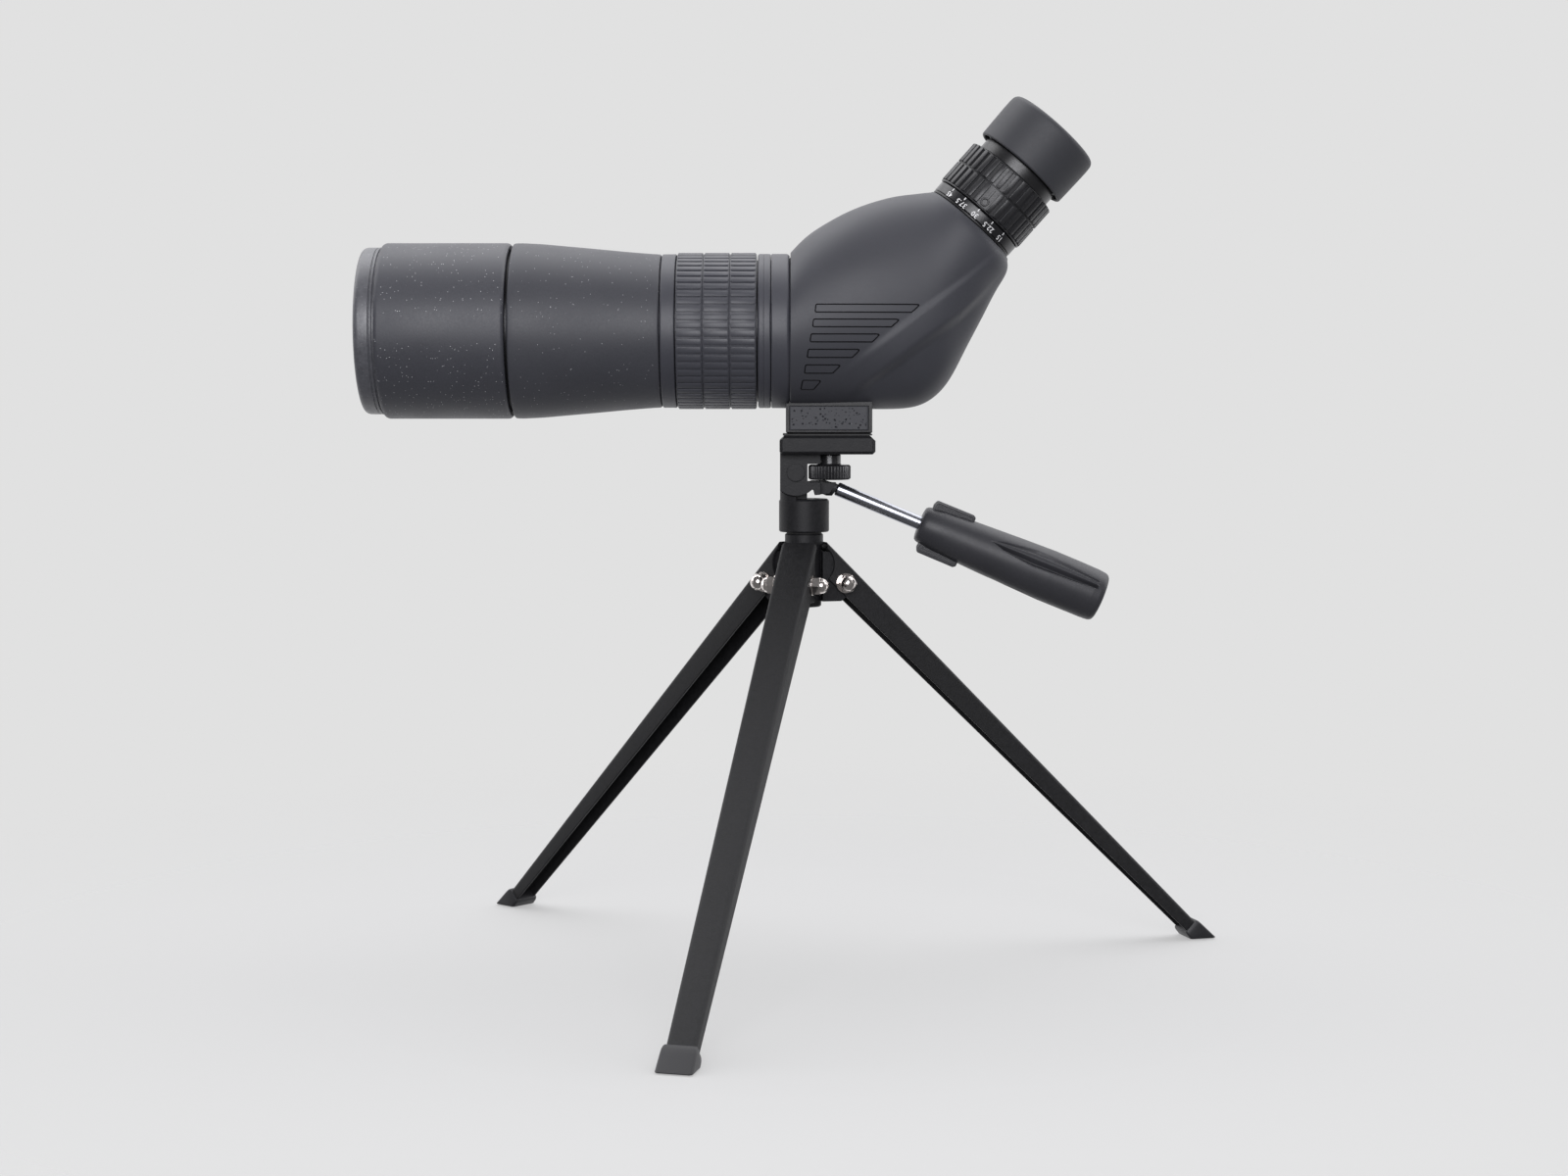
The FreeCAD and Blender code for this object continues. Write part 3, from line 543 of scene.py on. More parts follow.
def smooth(start, end, x):
    """Smooth step from 0 at start to 1 at end."""
    u = np.clip((np.asarray(x, float) - start) / (end - start), 0, 1)
    return u * u * (3 - 2 * u)


# ================================================================= housing
# sections from the barrel to the eyepiece: top x, z, bottom x, z, half width
SECTIONS = np.array([
    (-6.3, 305.4, -6.3, 239.15, 33.1), (-0.2, 311.7, 1.5, 238.85, 33.0),
    (9.1, 318.2, 13.4, 238.8, 32.6), (19.3, 323.6, 27.0, 238.8, 31.9),
    (29.5, 327.4, 40.6, 238.9, 30.8), (38.9, 329.8, 52.1, 241.4, 29.4),
    (46.5, 330.8, 61.8, 250.1, 27.8), (51.0, 331.3, 69.5, 264.3, 26.3),
    (53.2, 331.5, 77.6, 279.9, 24.9), (54.3, 331.6, 83.8, 291.6, 23.8),
    (54.9, 331.7, 87.5, 299.4, 22.5), (55.5, 331.9, 87.0, 304.0, 21.1)])
# creases of the sides: x, z
UPPER_CREASE = np.array([(6.0, 249.0), (15.3, 256.2), (32.7, 269.4), (49.7, 282.3),
                         (70.2, 297.5), (84.0, 309.2)])
LOWER_CREASE = np.array([(18.0, 245.5), (29.9, 254.8), (51.0, 270.4), (66.0, 281.0),
                         (80.7, 294.0), (90.0, 303.0)])
CREASE_STEP, UNDERCUT = 1.15, -1.1
# side panel and its six engraved outlines: x, z
PANEL = [(-3.6, 243.2), (8.5, 243.4), (53.0, 279.5), (53.2, 286.6), (1.5, 286.6)]
SLATS = [
    [(4.7, 282.8), (48.6, 282.8), (44.9, 279.5), (4.3, 279.5)],
    [(3.7, 276.6), (40.1, 276.6), (36.4, 273.4), (3.3, 273.4)],
    [(2.7, 270.4), (31.8, 270.4), (28.4, 267.1), (2.2, 267.1)],
    [(1.5, 264.0), (23.5, 264.0), (20.0, 260.6), (1.0, 260.6)],
    [(0.4, 257.5), (15.4, 257.5), (11.8, 254.0), (-0.1, 254.0)],
    [(-0.8, 251.0), (7.2, 251.0), (3.8, 247.1), (-1.6, 247.1)]]
# groove across an engraved outline: inset, corner radius, sink
GROOVE = [(-0.27, 0.95, 0.0), (-0.07, 0.70, -0.55), (0.07, 0.58, -0.55), (0.27, 0.40, 0.0)]
MOUTH = 60.15                                # trimmed here along the eyepiece axis
# rim of the mouth: place along the axis, size against the trimmed edge
MOUTH_RIM = [(60.45, 0.996), (60.72, 0.985), (60.88, 0.967), (60.93, 0.93), (60.6, 0.90)]
FRONT_ROUND = 0.7


def natural_spline(knots, values):
    """Evaluator of the natural cubic spline through (knots, values)."""
    count = len(knots)
    gaps = np.diff(knots)
    matrix = np.zeros((count, count))
    right = np.zeros(count)
    matrix[0, 0] = matrix[-1, -1] = 1
    for i in range(1, count - 1):
        matrix[i, i - 1:i + 2] = gaps[i - 1], 2 * (gaps[i - 1] + gaps[i]), gaps[i]
        right[i] = 6 * ((values[i + 1] - values[i]) / gaps[i]
                        - (values[i] - values[i - 1]) / gaps[i - 1])
    bend = np.linalg.solve(matrix, right)

    def evaluate(t):
        t = np.asarray(t, float)
        i = np.clip(np.searchsorted(knots, t) - 1, 0, count - 2)
        left, past, gap = knots[i + 1] - t, t - knots[i], gaps[i]
        return ((bend[i] * left ** 3 + bend[i + 1] * past ** 3) / (6 * gap)
                + (values[i] / gap - bend[i] * gap / 6) * left
                + (values[i + 1] / gap - bend[i + 1] * gap / 6) * past)
    return evaluate


# t runs along the housing by the mean travel of top and bottom
_travel = 0.5 * (np.hypot(*np.diff(SECTIONS[:, 0:2], axis=0).T)
                 + np.hypot(*np.diff(SECTIONS[:, 2:4], axis=0).T))
_knots = np.concatenate([[0], np.cumsum(_travel)])
T_END = _knots[-1]
SPLINES = [natural_spline(_knots, SECTIONS[:, k]) for k in range(5)]


def section(t):
    """Middle x, z, half of the bottom-to-top vector x, z, and half width."""
    top_x, top_z, low_x, low_z, width = (spline(t) for spline in SPLINES)
    return ((top_x + low_x) / 2, (top_z + low_z) / 2, (top_x - low_x) / 2,
            (top_z - low_z) / 2, width)


def bare_point(t, theta):
    """Point of the bare surface; theta is measured from the top."""
    mid_x, mid_z, half_x, half_z, width = section(t)
    return np.stack([mid_x + half_x * np.cos(theta), width * np.sin(theta),
                     mid_z + half_z * np.cos(theta)], -1)


def invert(x, z):
    """(t, cos theta) of the bare surface over side-view points."""
    low, high = np.zeros_like(x), np.full_like(x, T_END)
    for _ in range(48):
        t = (low + high) / 2
        top_x, top_z, low_x, low_z, _width = (spline(t) for spline in SPLINES)
        beyond = (top_x - low_x) * (z - low_z) - (top_z - low_z) * (x - low_x) < 0
        low = np.where(beyond, t, low)
        high = np.where(beyond, high, t)
    t = (low + high) / 2
    mid_x, mid_z, half_x, half_z, _width = section(t)
    cosine = (((x - mid_x) * half_x + (z - mid_z) * half_z)
              / (half_x * half_x + half_z * half_z))
    return t, np.clip(cosine, -1, 1)


def crease(x, z):
    """Outward step of the side: a band that rises from the upper crease to
    the lower one and falls away below it."""
    upper = np.interp(x, *UPPER_CREASE.T)
    lower = np.interp(x, *LOWER_CREASE.T)
    v = (upper - z) / np.maximum(upper - lower, 1.0)  # 0 at the upper crease, 1 at the lower
    drop = lower - z
    band = CREASE_STEP * (0.62 * smooth(0.0, 0.26, v) + 0.38 * np.clip(v, 0, 1))
    below = (CREASE_STEP * (1.0 - smooth(-0.6, 6.5, drop))
             + UNDERCUT * smooth(-0.6, 7.0, drop) * (1 - smooth(9.0, 28.0, drop)))
    fade = smooth(10.0, 34.0, x) * (1 - 0.35 * smooth(66.0, 86.0, x))
    return np.where(v > 0, np.where(drop < -0.6, band, below), 0.0) * fade


def housing_point(t, theta):
    """Creased housing surface and the normal of the bare one."""
    point = bare_point(t, theta)
    nudge = 1e-3
    along = (bare_point(np.minimum(t + nudge, T_END), theta)
             - bare_point(np.maximum(t - nudge, 0), theta))
    around = bare_point(t, theta + nudge) - bare_point(t, theta - nudge)
    normal = np.cross(around, along)
    normal /= np.maximum(np.linalg.norm(normal, axis=-1, keepdims=True), 1e-12)
    mid_x, mid_z, _half_x, _half_z, width = section(t)
    centre = np.stack([mid_x, 0 * width, mid_z], -1)
    sign = np.sign(((point - centre) * normal).sum(-1, keepdims=True))
    normal = normal * np.where(sign == 0, 1, sign)
    step = crease(point[..., 0], point[..., 2]) * smooth(0.35, 0.8, np.abs(np.sin(theta)))
    return point + normal * step[..., None], normal


def close_mouth(bm):
    """Trim square to the eyepiece axis and round the edge over."""
    axis = Vector((math.cos(rad(EYEPIECE_RISE)), 0, math.sin(rad(EYEPIECE_RISE))))
    origin = Vector((EYEPIECE_X, 0, BARREL_Z))
    trim(bm, (origin + axis * MOUTH) * MM, axis)
    rim = [e for e in bm.edges if e.is_boundary
           and all(abs((v.co / MM - origin).dot(axis) - MOUTH) < 0.05 for v in e.verts)]
    size_before = 1.0
    for place_along, size in MOUTH_RIM:
        verts, rim = extrude_rim(bm, rim)
        for v in verts:
            point = v.co / MM - origin
            across = point - axis * point.dot(axis)
            v.co = (origin + across * (size / size_before) + axis * place_along) * MM
        size_before = size


def turn_in_front(bm):
    """Turn the front end in behind the collar."""
    rim = [e for e in bm.edges if e.is_boundary and all(v.co.x / MM < -6.0 for v in e.verts)]
    axis_z = BARREL_Z * MM
    for v in extrude_rim(bm, rim)[0]:
        v.co = Vector((v.co.x, v.co.y * 0.92, axis_z + (v.co.z - axis_z) * 0.92))


def build_housing_skin():
    """Outer skin with a window on each side for the panels."""
    around, stations = 300, 190
    t, theta = np.meshgrid(np.linspace(0, T_END, stations),
                           np.linspace(0, 2 * math.pi, around, endpoint=False), indexing="ij")
    points, normals = housing_point(t, theta)
    # rounded edge at the front end
    reach = np.clip(FRONT_ROUND - t, 0, FRONT_ROUND)
    sink = FRONT_ROUND - np.sqrt(np.maximum(FRONT_ROUND ** 2 - reach * reach, 0))
    points = points - normals * sink[..., None] * 0.8
    centres = (points[:-1] + np.roll(points, -1, 1)[1:]) / 2
    window = (inside(offset_outline(PANEL, 1.3), centres[..., 0], centres[..., 2])
              & (np.abs(np.sin(theta[:-1])) > 0.3))
    faces = []
    for i in range(stations - 1):
        ring = walls(i * around, (i + 1) * around, around)
        faces += [face for j, face in enumerate(ring) if not window[i, j]]
    mesh = bpy.data.meshes.new("housing_skin")
    mesh.from_pydata([tuple(v * MM) for v in points.reshape(-1, 3)], [], faces)
    bm = bmesh.new()
    bm.from_mesh(mesh)
    close_mouth(bm)
    turn_in_front(bm)
    bmesh.ops.recalc_face_normals(bm, faces=bm.faces)
    bm.to_mesh(mesh)
    bm.free()
    mesh.transform(Matrix.Translation((0, 0, LIFT * MM)))
    publish(mesh, "housing_skin", "housing_rubber", "rubber_armour", "housing_armour", "scope", 40)


def build_side_panels():
    """Finer sheets in the two windows, with the engraved outlines."""
    loops = [(dense(offset_outline(slat, inset, radius), 1.1), sink)
             for slat in SLATS for inset, radius, sink in GROOVE]
    loops.append((dense(PANEL, 1.0), -0.05))
    loops.append((dense(offset_outline(PANEL, 0.5), 1.0), -0.012))
    points, edges, sinks = [], [], []
    for loop, sink in loops:
        first, count = len(points), len(loop)
        points += loop
        sinks += [sink] * count
        edges += [(first + i, first + (i + 1) % count) for i in range(count)]
    # staggered points between the loops
    known = np.array(points)
    inner = offset_outline(PANEL, 0.9)
    row = 0
    z = 243.0
    while z < 287:
        x = -4.0 + (0.55 if row % 2 else 0.0)
        while x < 54:
            if (inside(inner, x, z)
                    and np.min(np.hypot(known[:, 0] - x, known[:, 1] - z)) > 0.55):
                points.append((x, z))
                sinks.append(0.0)
            x += 1.1
        z += 0.95
        row += 1
    flat, _, triangles, sources, _, _ = delaunay_2d_cdt(
        [Vector(p) for p in points], edges, [], 0, 1e-5)
    x = np.array([v.x for v in flat])
    z = np.array([v.y for v in flat])
    t, cosine = invert(x, z)
    sheet, normals = housing_point(t, np.arccos(cosine))
    depth = np.array([min((sinks[j] for j in source), default=0.0) for source in sources])
    sheet = sheet + normals * depth[:, None]
    sheet[:, 1] = np.abs(sheet[:, 1])
    faces = [tuple(f) for f in triangles
             if inside(PANEL, np.mean([x[i] for i in f]), np.mean([z[i] for i in f]))]
    for side, name in ((-1, "side_panel_right"), (1, "side_panel_left")):
        verts = (sheet * np.array([1, side, 1])).tolist()
        mesh = piece(name, verts, faces, UPRIGHT, "housing_rubber", "rubber_armour",
                     angle=26, recalc=False).data
        if np.mean([p.normal.y for p in mesh.polygons]) * side < 0:
            mesh.flip_normals()
        mesh.materials.append(MATERIALS["groove_shadow"])
        for polygon in mesh.polygons:
            if any(depth[i] < -0.3 for i in polygon.vertices):
                polygon.material_index = 1


build_housing_skin()
build_side_panels()

# ================================================================== barrel
# turned profiles here and below: radius, place along the axis, corner radius
start, end = span("sunshade")
_low, _high = span("sunshade", 2)
radius = (_high - _low) / 2
lathe("hood_skin", [
    (34.85, start), (36.6, start, 0.3), (37.15, start + 0.25, 0.4), (radius, start + 1.3, 0.9),
    (radius, end - 1.1, 0.9), (radius - 0.9, end, 0.4), (34.85, end)],
    BARREL, "hood_rubber", "rubber_armour", "sunshade", "sunshade", steps=256)

start, end = span("barrel_armour")
lathe("barrel_skin", [
    (33.7, start), (36.5, start, 0.5), (37.5, start + 0.5, 0.8), (37.66, start + 3.0, 2.0),
    (37.3, -113.0, 6.0), (36.3, -102.0, 6.0), (35.05, -88.0, 6.0), (33.9, -76.0, 6.0),
    (33.2, -67.0, 3.0), (32.85, end - 0.5, 0.4), (32.3, end, 0.2), (30.45, end)],
    BARREL, "armour_rubber", "rubber_armour", "barrel_armour", steps=256)

start, end = span("front_ring")
lathe("front_ring_skin", [
    (30.5, start), (32.4, start, 0.3), (32.95, start + 0.45, 0.35), (32.95, end - 1.25, 0.2),
    (33.0, end - 0.9, 0.2), (33.0, end - 0.35, 0.3), (32.5, end, 0.2), (30.5, end)],
    BARREL, "ring_rubber", "rubber_armour", "front_ring", steps=224)

start, end = span("rear_ring")
lathe("rear_ring_skin", [
    (30.5, start), (32.6, start, 0.2), (33.1, start + 0.5, 0.35), (33.1, start + 2.4, 0.05),
    (32.95, start + 2.47, 0.05), (32.95, start + 2.6, 0.05), (33.1, start + 2.67, 0.05),
    (33.1, end - 0.35, 0.3), (32.7, end, 0.2), (30.5, end)],
    BARREL, "ring_rubber", "rubber_armour", "rear_ring", steps=224)

start, end = span("housing_collar")
lathe("housing_collar_skin", [
    (30.5, start), (32.75, start, 0.2), (33.12, start + 0.35, 0.3), (33.12, end - 0.9, 0.5),
    (32.3, end, 0.2), (30.5, end)],
    BARREL, "ring_rubber", "rubber_armour", "housing_collar", steps=224)

# cap with a bead line behind its face
start, end = span("objective_cap")
lathe("cap_shell", [
    (0, start + 0.9), (26.5, start + 0.9, 0.4), (27.3, start + 0.1, 0.4), (33.9, start, 0.6),
    (35.1, start + 0.5, 0.7), (35.75, start + 1.8, 0.8), (35.8, -183.0, 0.1),
    (35.35, -182.75, 0.1), (35.35, -182.45, 0.1), (35.85, -182.2, 0.2), (35.85, -181.5, 0.2),
    (35.3, -181.1, 0.15), (34.72, end, 0.1), (34.72, -172.5, 0.2), (33.2, -172.5, 0.2),
    (33.2, start + 2.4), (0, start + 2.4)],
    BARREL, "cap_plastic", "cap_plastic", "objective_cap", "cap", steps=256, closed=False)


def build_focus_grip():
    """Three bands of sixty pads on a turned sleeve."""
    start, pitch = span("focus_grip")[0], 11.38
    parts = pad_ring([start + 5.55 + pitch * i for i in range(3)], count=60, half_width=1.27,
                     half_length=5.2, base=33.02, top=0.5, corner=0.55)
    profile = [(31.95, start)]
    x = start
    for i in range(3):
        profile += [(33.0, x, 0.1), (33.05, x + 0.15), (33.05, x + 10.95),
                    (32.95, x + 11.1, 0.05)]
        if i < 2:
            profile += [(32.55, x + 11.16, 0.05), (32.55, x + 11.32, 0.05)]
        x += pitch
    profile.append((31.95, x - 0.28))
    parts.add(*revolve(soften(profile, steps=3), 240))
    piece("focus_grip_pads", parts.verts, parts.faces, BARREL, "focus_grip_rubber",
          "grip_rubber", "focus_grip", "focus_ring", angle=38)


build_focus_grip()

# ================================================================ eyepiece
ZOOM_R, RIB_HEIGHT = 21.15, 0.78
ZOOM_ROWS = [72.75, 83.05]
MARK_BEARING = -90 - 5                       # degrees; -90 faces -Y
SCALE_R = 21.15


def near_mark(z, bearing):
    away = (math.degrees(bearing) - MARK_BEARING + 180) % 360 - 180
    return z < 78 and abs(away) < 7


def build_zoom_grip():
    """Two rows of raised ribs, an index bar and a small raised circle."""
    parts = pad_ring(ZOOM_ROWS, count=36, half_width=1.12, half_length=4.72, base=ZOOM_R,
                     top=RIB_HEIGHT, corner=0.45, skip=near_mark)
    parts.add(*revolve(soften([
        (20.4, 67.1), (21.3, 67.1, 0.1), (21.75, 67.35, 0.2), (21.75, 67.75, 0.15),
        (ZOOM_R, 68.0, 0.05), (ZOOM_R, 77.65, 0.05), (20.95, 77.8, 0.05), (20.95, 78.0, 0.05),
        (ZOOM_R, 78.15, 0.05), (ZOOM_R, 87.3, 0.05), (21.55, 87.45, 0.1), (21.55, 87.75, 0.15),
        (21.2, 88.0, 0.1), (20.4, 88.0)], steps=3), 216))
    mark = rad(MARK_BEARING)
    button(parts, lambda inset: round_rect(0.42 - inset * 0.6, 2.6 - inset, 0.4, 3),
           [(-0.03, -0.1), (0, RIB_HEIGHT - 0.15), (0.12, RIB_HEIGHT)],
           on_cylinder(ZOOM_R, RIB_HEIGHT, mark, ZOOM_ROWS[0] + 1.7))
    wrap = on_cylinder(ZOOM_R, RIB_HEIGHT, mark, 70.35)
    # section of the circle's band: radius, height
    band = [(1.95, -0.05), (1.9, RIB_HEIGHT - 0.1), (1.75, RIB_HEIGHT), (1.4, RIB_HEIGHT),
            (1.25, RIB_HEIGHT - 0.1), (1.2, -0.05)]
    for k in range(24):
        verts = [wrap(r * math.cos(a), r * math.sin(a), height)
                 for a in (2 * math.pi * k / 24, 2 * math.pi * (k + 1) / 24)
                 for r, height in band]
        parts.add(verts, [[i, i + 1, i + 7, i + 6] for i in range(5)])
    piece("zoom_grip_ribs", parts.verts, parts.faces, EYEPIECE, "zoom_grip_rubber",
          "zoom_grip_black", "zoom_grip", "zoom_ring", angle=38)


build_zoom_grip()

lathe("scale_band", [
    (17.2, 62.25), (20.9, 62.25, 0.15), (SCALE_R, 62.5, 0.2), (SCALE_R, 66.5, 0.2),
    (20.9, 66.75, 0.1), (17.2, 66.75)],
    EYEPIECE, "scale_black", "scale_black", "scale_ring")

lathe("eyepiece_seat_skin", [
    (14.7, 56.6), (16.1, 56.6), (16.1, 60.95), (20.6, 60.97), (21.0, 61.2, 0.2),
    (21.0, 62.0, 0.2), (20.7, 62.2, 0.1), (14.7, 62.2)],
    EYEPIECE, "black_moulding", "black_moulding", "eyepiece_seat", steps=160)


def on_scale(u, v, height, bearing, centre):
    """u along the reading direction, v up the figure, towards the housing;
    bearing 0 faces -Y."""
    a = rad(bearing) - u / SCALE_R
    return (SCALE_R + height) * math.sin(a), -(SCALE_R + height) * math.cos(a), centre - v


def text_mesh(text):
    curve = bpy.data.curves.new("fig", "FONT")
    curve.body, curve.align_x, curve.align_y = text, "CENTER", "CENTER"
    curve.size, curve.extrude, curve.resolution_u, curve.offset = 3.15, 0.5, 4, 0.035
    curve.space_character = 1.12
    made = bpy.data.objects.new("fig", curve)
    scene.collection.objects.link(made)
    evaluated = made.evaluated_get(bpy.context.evaluated_depsgraph_get())
    mesh = bpy.data.meshes.new_from_object(evaluated)
    bpy.data.objects.remove(made)
    return mesh


def build_scale_figures():
    """Painted magnifications, each with a tick."""
    low, high = -0.03, 0.018                 # depth and height of the paint
    parts = Parts()
    for text, bearing in (("45", -46.0), ("37.5", -25.0), ("30", -4.0), ("22.5", 17.5),
                          ("15", 38.0)):
        mesh = text_mesh(text)
        parts.add([on_scale(v.co.x * 0.93, v.co.y, high if v.co.z > 0 else low, bearing, 63.62)
                   for v in mesh.vertices], [list(p.vertices) for p in mesh.polygons])
        tick = [on_scale(u, v, height, bearing, 65.95) for height in (low, high)
                for u, v in ((-0.22, -0.65), (0.22, -0.65), (0.22, 0.6), (-0.22, 0.6))]
        parts.add(tick, [[0, 1, 2, 3], [7, 6, 5, 4], [0, 4, 5, 1], [1, 5, 6, 2], [2, 6, 7, 3],
                         [3, 7, 4, 0]])
    piece("scale_figures", parts.verts, parts.faces, EYEPIECE, "scale_paint", "scale_black",
          angle=30)


build_scale_figures()

lathe("eyepiece_neck", [
    (14.25, 52.1), (14.5, 52.1), (14.5, 62.3), (16.95, 62.3), (16.95, 88.2), (18.4, 88.2, 0.2),
    (18.7, 88.5, 0.25), (18.7, 93.3, 0.25), (18.4, 93.6, 0.1), (17.55, 93.6), (17.55, 110.4),
    (15.5, 110.45, 0.1), (14.3, 109.3), (15.38, 109.2), (15.38, 96.1), (14.25, 96.0)],
    EYEPIECE, "gloss_black", "gloss_black", "eyepiece_barrel", steps=160)

lathe("eyecup_skin", [
    (17.68, 94.8), (18.95, 94.8, 0.2), (18.95, 111.7, 0.2), (20.55, 112.5, 0.4),
    (20.6, 93.65, 0.15), (20.8, 93.4, 0.15), (21.5, 93.4, 0.3), (21.95, 93.9, 0.4),
    (22.15, 100.0, 3.0), (22.32, 107.0, 3.0), (22.35, 111.2, 1.5), (22.15, 113.8, 1.2),
    (21.2, 115.15, 1.2), (19.6, 115.48, 1.0), (17.7, 114.8, 1.2), (15.6, 112.8, 1.2),
    (14.65, 111.0, 0.3), (14.65, 110.6, 0.1), (17.68, 110.6)],
    EYEPIECE, "eyecup_rubber", "eyecup_rubber", "eyecup", steps=208, rounding=5)

# ===================================================================== head
KNURLS = 40


def knurl(r, z, a):
    if r < 8.3:
        return r
    return r - 0.85 * ((0.5 + 0.5 * math.cos(a * KNURLS)) ** 1.3)


start, end = span("clamp_knob", 2)
lathe("knob_knurled", [
    (0, start + 0.15), (5.2, start + 0.15, 0.2), (5.6, start, 0.2), (8.2, start, 0.2),
    (9.15, start + 0.55, 0.25), (9.15, 214.2, 0.25), (8.3, 214.8, 0.2), (5.6, 214.8, 0.2),
    (4.9, 215.1, 0.3), (4.9, 218.9, 0.3), (4.5, end, 0.1), (3.2, end), (3.2, 214.5), (0, 214.5)],
    KNOB, "knob_black", "black_moulding", "clamp_knob", "clamp", steps=KNURLS * 10,
    closed=False, radius_at=knurl, angle=50)


def pitted_face(side, lo, hi):
    """Slab on the -Y (-1) or +Y (1) side with a pitted, slightly uneven face."""
    face_y, back_y = 11.84, 11.16
    cols, rows = 250, 84
    draw = random.Random(11 + side)
    pits = [(draw.uniform(lo.x + 0.6, hi.x - 0.6), draw.uniform(lo.z + 0.6, hi.z - 0.8),
             draw.choice((0.16, 0.18, 0.2, 0.24, 0.34))) for _ in range(80)]
    verts = []
    for i in range(cols + 1):
        for j in range(rows + 1):
            x, z = lo.x + (hi.x - lo.x) * i / cols, lo.z + (hi.z - lo.z) * j / rows
            margin = min(x - lo.x, hi.x - x, z - lo.z, hi.z - z)
            y = face_y - 0.30 * (1 - float(smooth(0, 0.42, margin)))
            if x > hi.x - 1.2:
                y -= 0.20 * float(smooth(hi.x - 1.2, hi.x, x))
            y += (0.015 * noise.noise(Vector((x * 2.6, z * 2.6, side * 3.0)))
                  + 0.01 * noise.noise(Vector((x * 6.0, z * 6.0, side))))
            for pit_x, pit_z, r in pits:
                away = math.hypot(x - pit_x, z - pit_z)
                if away < r * 1.6:
                    y -= 0.55 * r / 0.25 * math.exp(-(away / (r * 0.75)) ** 2)
            verts.append((x, side * y, z))
    col = rows + 1
    faces = [(i * col + j, (i + 1) * col + j, (i + 1) * col + j + 1, i * col + j + 1)
             for i in range(cols) for j in range(rows)]
    rim = ([i * col for i in range(cols + 1)] + [cols * col + j for j in range(1, col)]
           + [i * col + rows for i in range(cols - 1, -1, -1)] + list(range(rows - 1, 0, -1)))
    back, count = len(verts), len(rim)
    verts += [(verts[i][0], side * back_y, verts[i][2]) for i in rim]
    faces += [(rim[i], rim[(i + 1) % count], back + (i + 1) % count, back + i)
              for i in range(count)]
    faces.append([back + i for i in range(count)])
    return verts, faces


def build_foot_inserts():
    lo, hi = box("foot_inserts")
    parts = Parts()
    for side in (-1, 1):
        parts.add(*pitted_face(side, lo, hi))
    mesh = piece("foot_insert_faces", parts.verts, parts.faces, UPRIGHT, "pitted_plastic",
                 "foot_texture", "foot_inserts", angle=60).data
    # painted shade: the faces down in the pits get the groove_shadow finish
    mesh.materials.append(MATERIALS["groove_shadow"])
    for polygon in mesh.polygons:
        centre = polygon.center / MM
        if (lo.x + 0.5 < centre.x < hi.x - 1.3 and lo.z + 0.5 < centre.z - LIFT < hi.z - 0.5
                and 11.3 < abs(centre.y) < 11.58):
            polygon.material_index = 1


build_foot_inserts()

# ------------------------------------------------------------------ handle
lathe("handle_rod_chrome", [
    (0, 15.6), (1.6, 15.6, 0.1), (1.9, 15.95), (1.9, 19.1), (2.55, 19.12, 0.15),
    (3.05, 19.6, 0.2), (3.05, 73.9), (0, 73.9)],
    HANDLE, "chrome_plate", "chrome_rod", "handle_rod", "handle", steps=96, closed=False)

# grip: radius, place along the rod
GRIP = [(3.08, 58.3), (6.0, 58.2), (7.2, 58.5), (7.9, 59.4), (8.35, 61.2), (8.75, 64.0),
        (9.2, 67.0), (10.05, 83.2), (10.95, 103.0), (11.45, 117.7), (11.4, 130.0),
        (11.25, 138.0), (10.95, 141.3), (10.35, 142.8), (9.4, 143.35)]
GRIP_END = [(10.72, 142.1), (10.3, 142.8), (9.6, 143.25), (8.8, 143.4), (0.0, 143.4)]
FLUTE_LINES = (29.5, 149.5, -90.5)           # degrees from -Y towards the upper side
MIRRORED_FLUTE = 149.5
# flute edges in degrees from its line, over its length from 0 to 1
FLUTE_AT = [0, 0.15, 0.42, 0.75, 1.02]
FLUTE_LOW = [0.0, -11.5, -20.5, -16.5, -11.5]
FLUTE_HIGH = [0.5, 10.5, 20.0, 14.5, 8.0]
FLUTE_START, FLUTE_DEPTH = 88.0, 2.5


def flute(z, phi):
    """Depth of a scalloped flute with a raised rib in it; phi is degrees from its line."""
    if z < FLUTE_START or z > 139.9:
        return 0.0
    t = (z - FLUTE_START) / (139.0 - FLUTE_START)
    low = np.interp(t, FLUTE_AT, FLUTE_LOW)
    high = np.interp(t, FLUTE_AT, FLUTE_HIGH)
    if phi <= low - 2 or phi >= high + 2:
        return 0.0
    v = (phi - low) / max(high - low, 0.5)
    wall = float(smooth(-0.06, 0.20, v)) * (1 - float(smooth(0.86, 1.06, v)))
    rib = float(smooth(0.20, 0.52, v)) * (1 - 0.45 * float(smooth(0.72, 0.98, v)))
    ends = float(smooth(FLUTE_START, 97.0, z)) * (1 - float(smooth(138.4, 139.8, z)))
    return -(FLUTE_DEPTH * wall * (1 - 0.92 * rib)) * ends


def fluted(r, z, a):
    phi = math.degrees(math.atan2(-math.cos(a), -math.sin(a)))
    change = 0.0
    for line in FLUTE_LINES:
        away = (phi - line + 180) % 360 - 180
        if line == MIRRORED_FLUTE:
            away = -away
        if abs(away) < 30:
            change += flute(z, away)
    return r + change


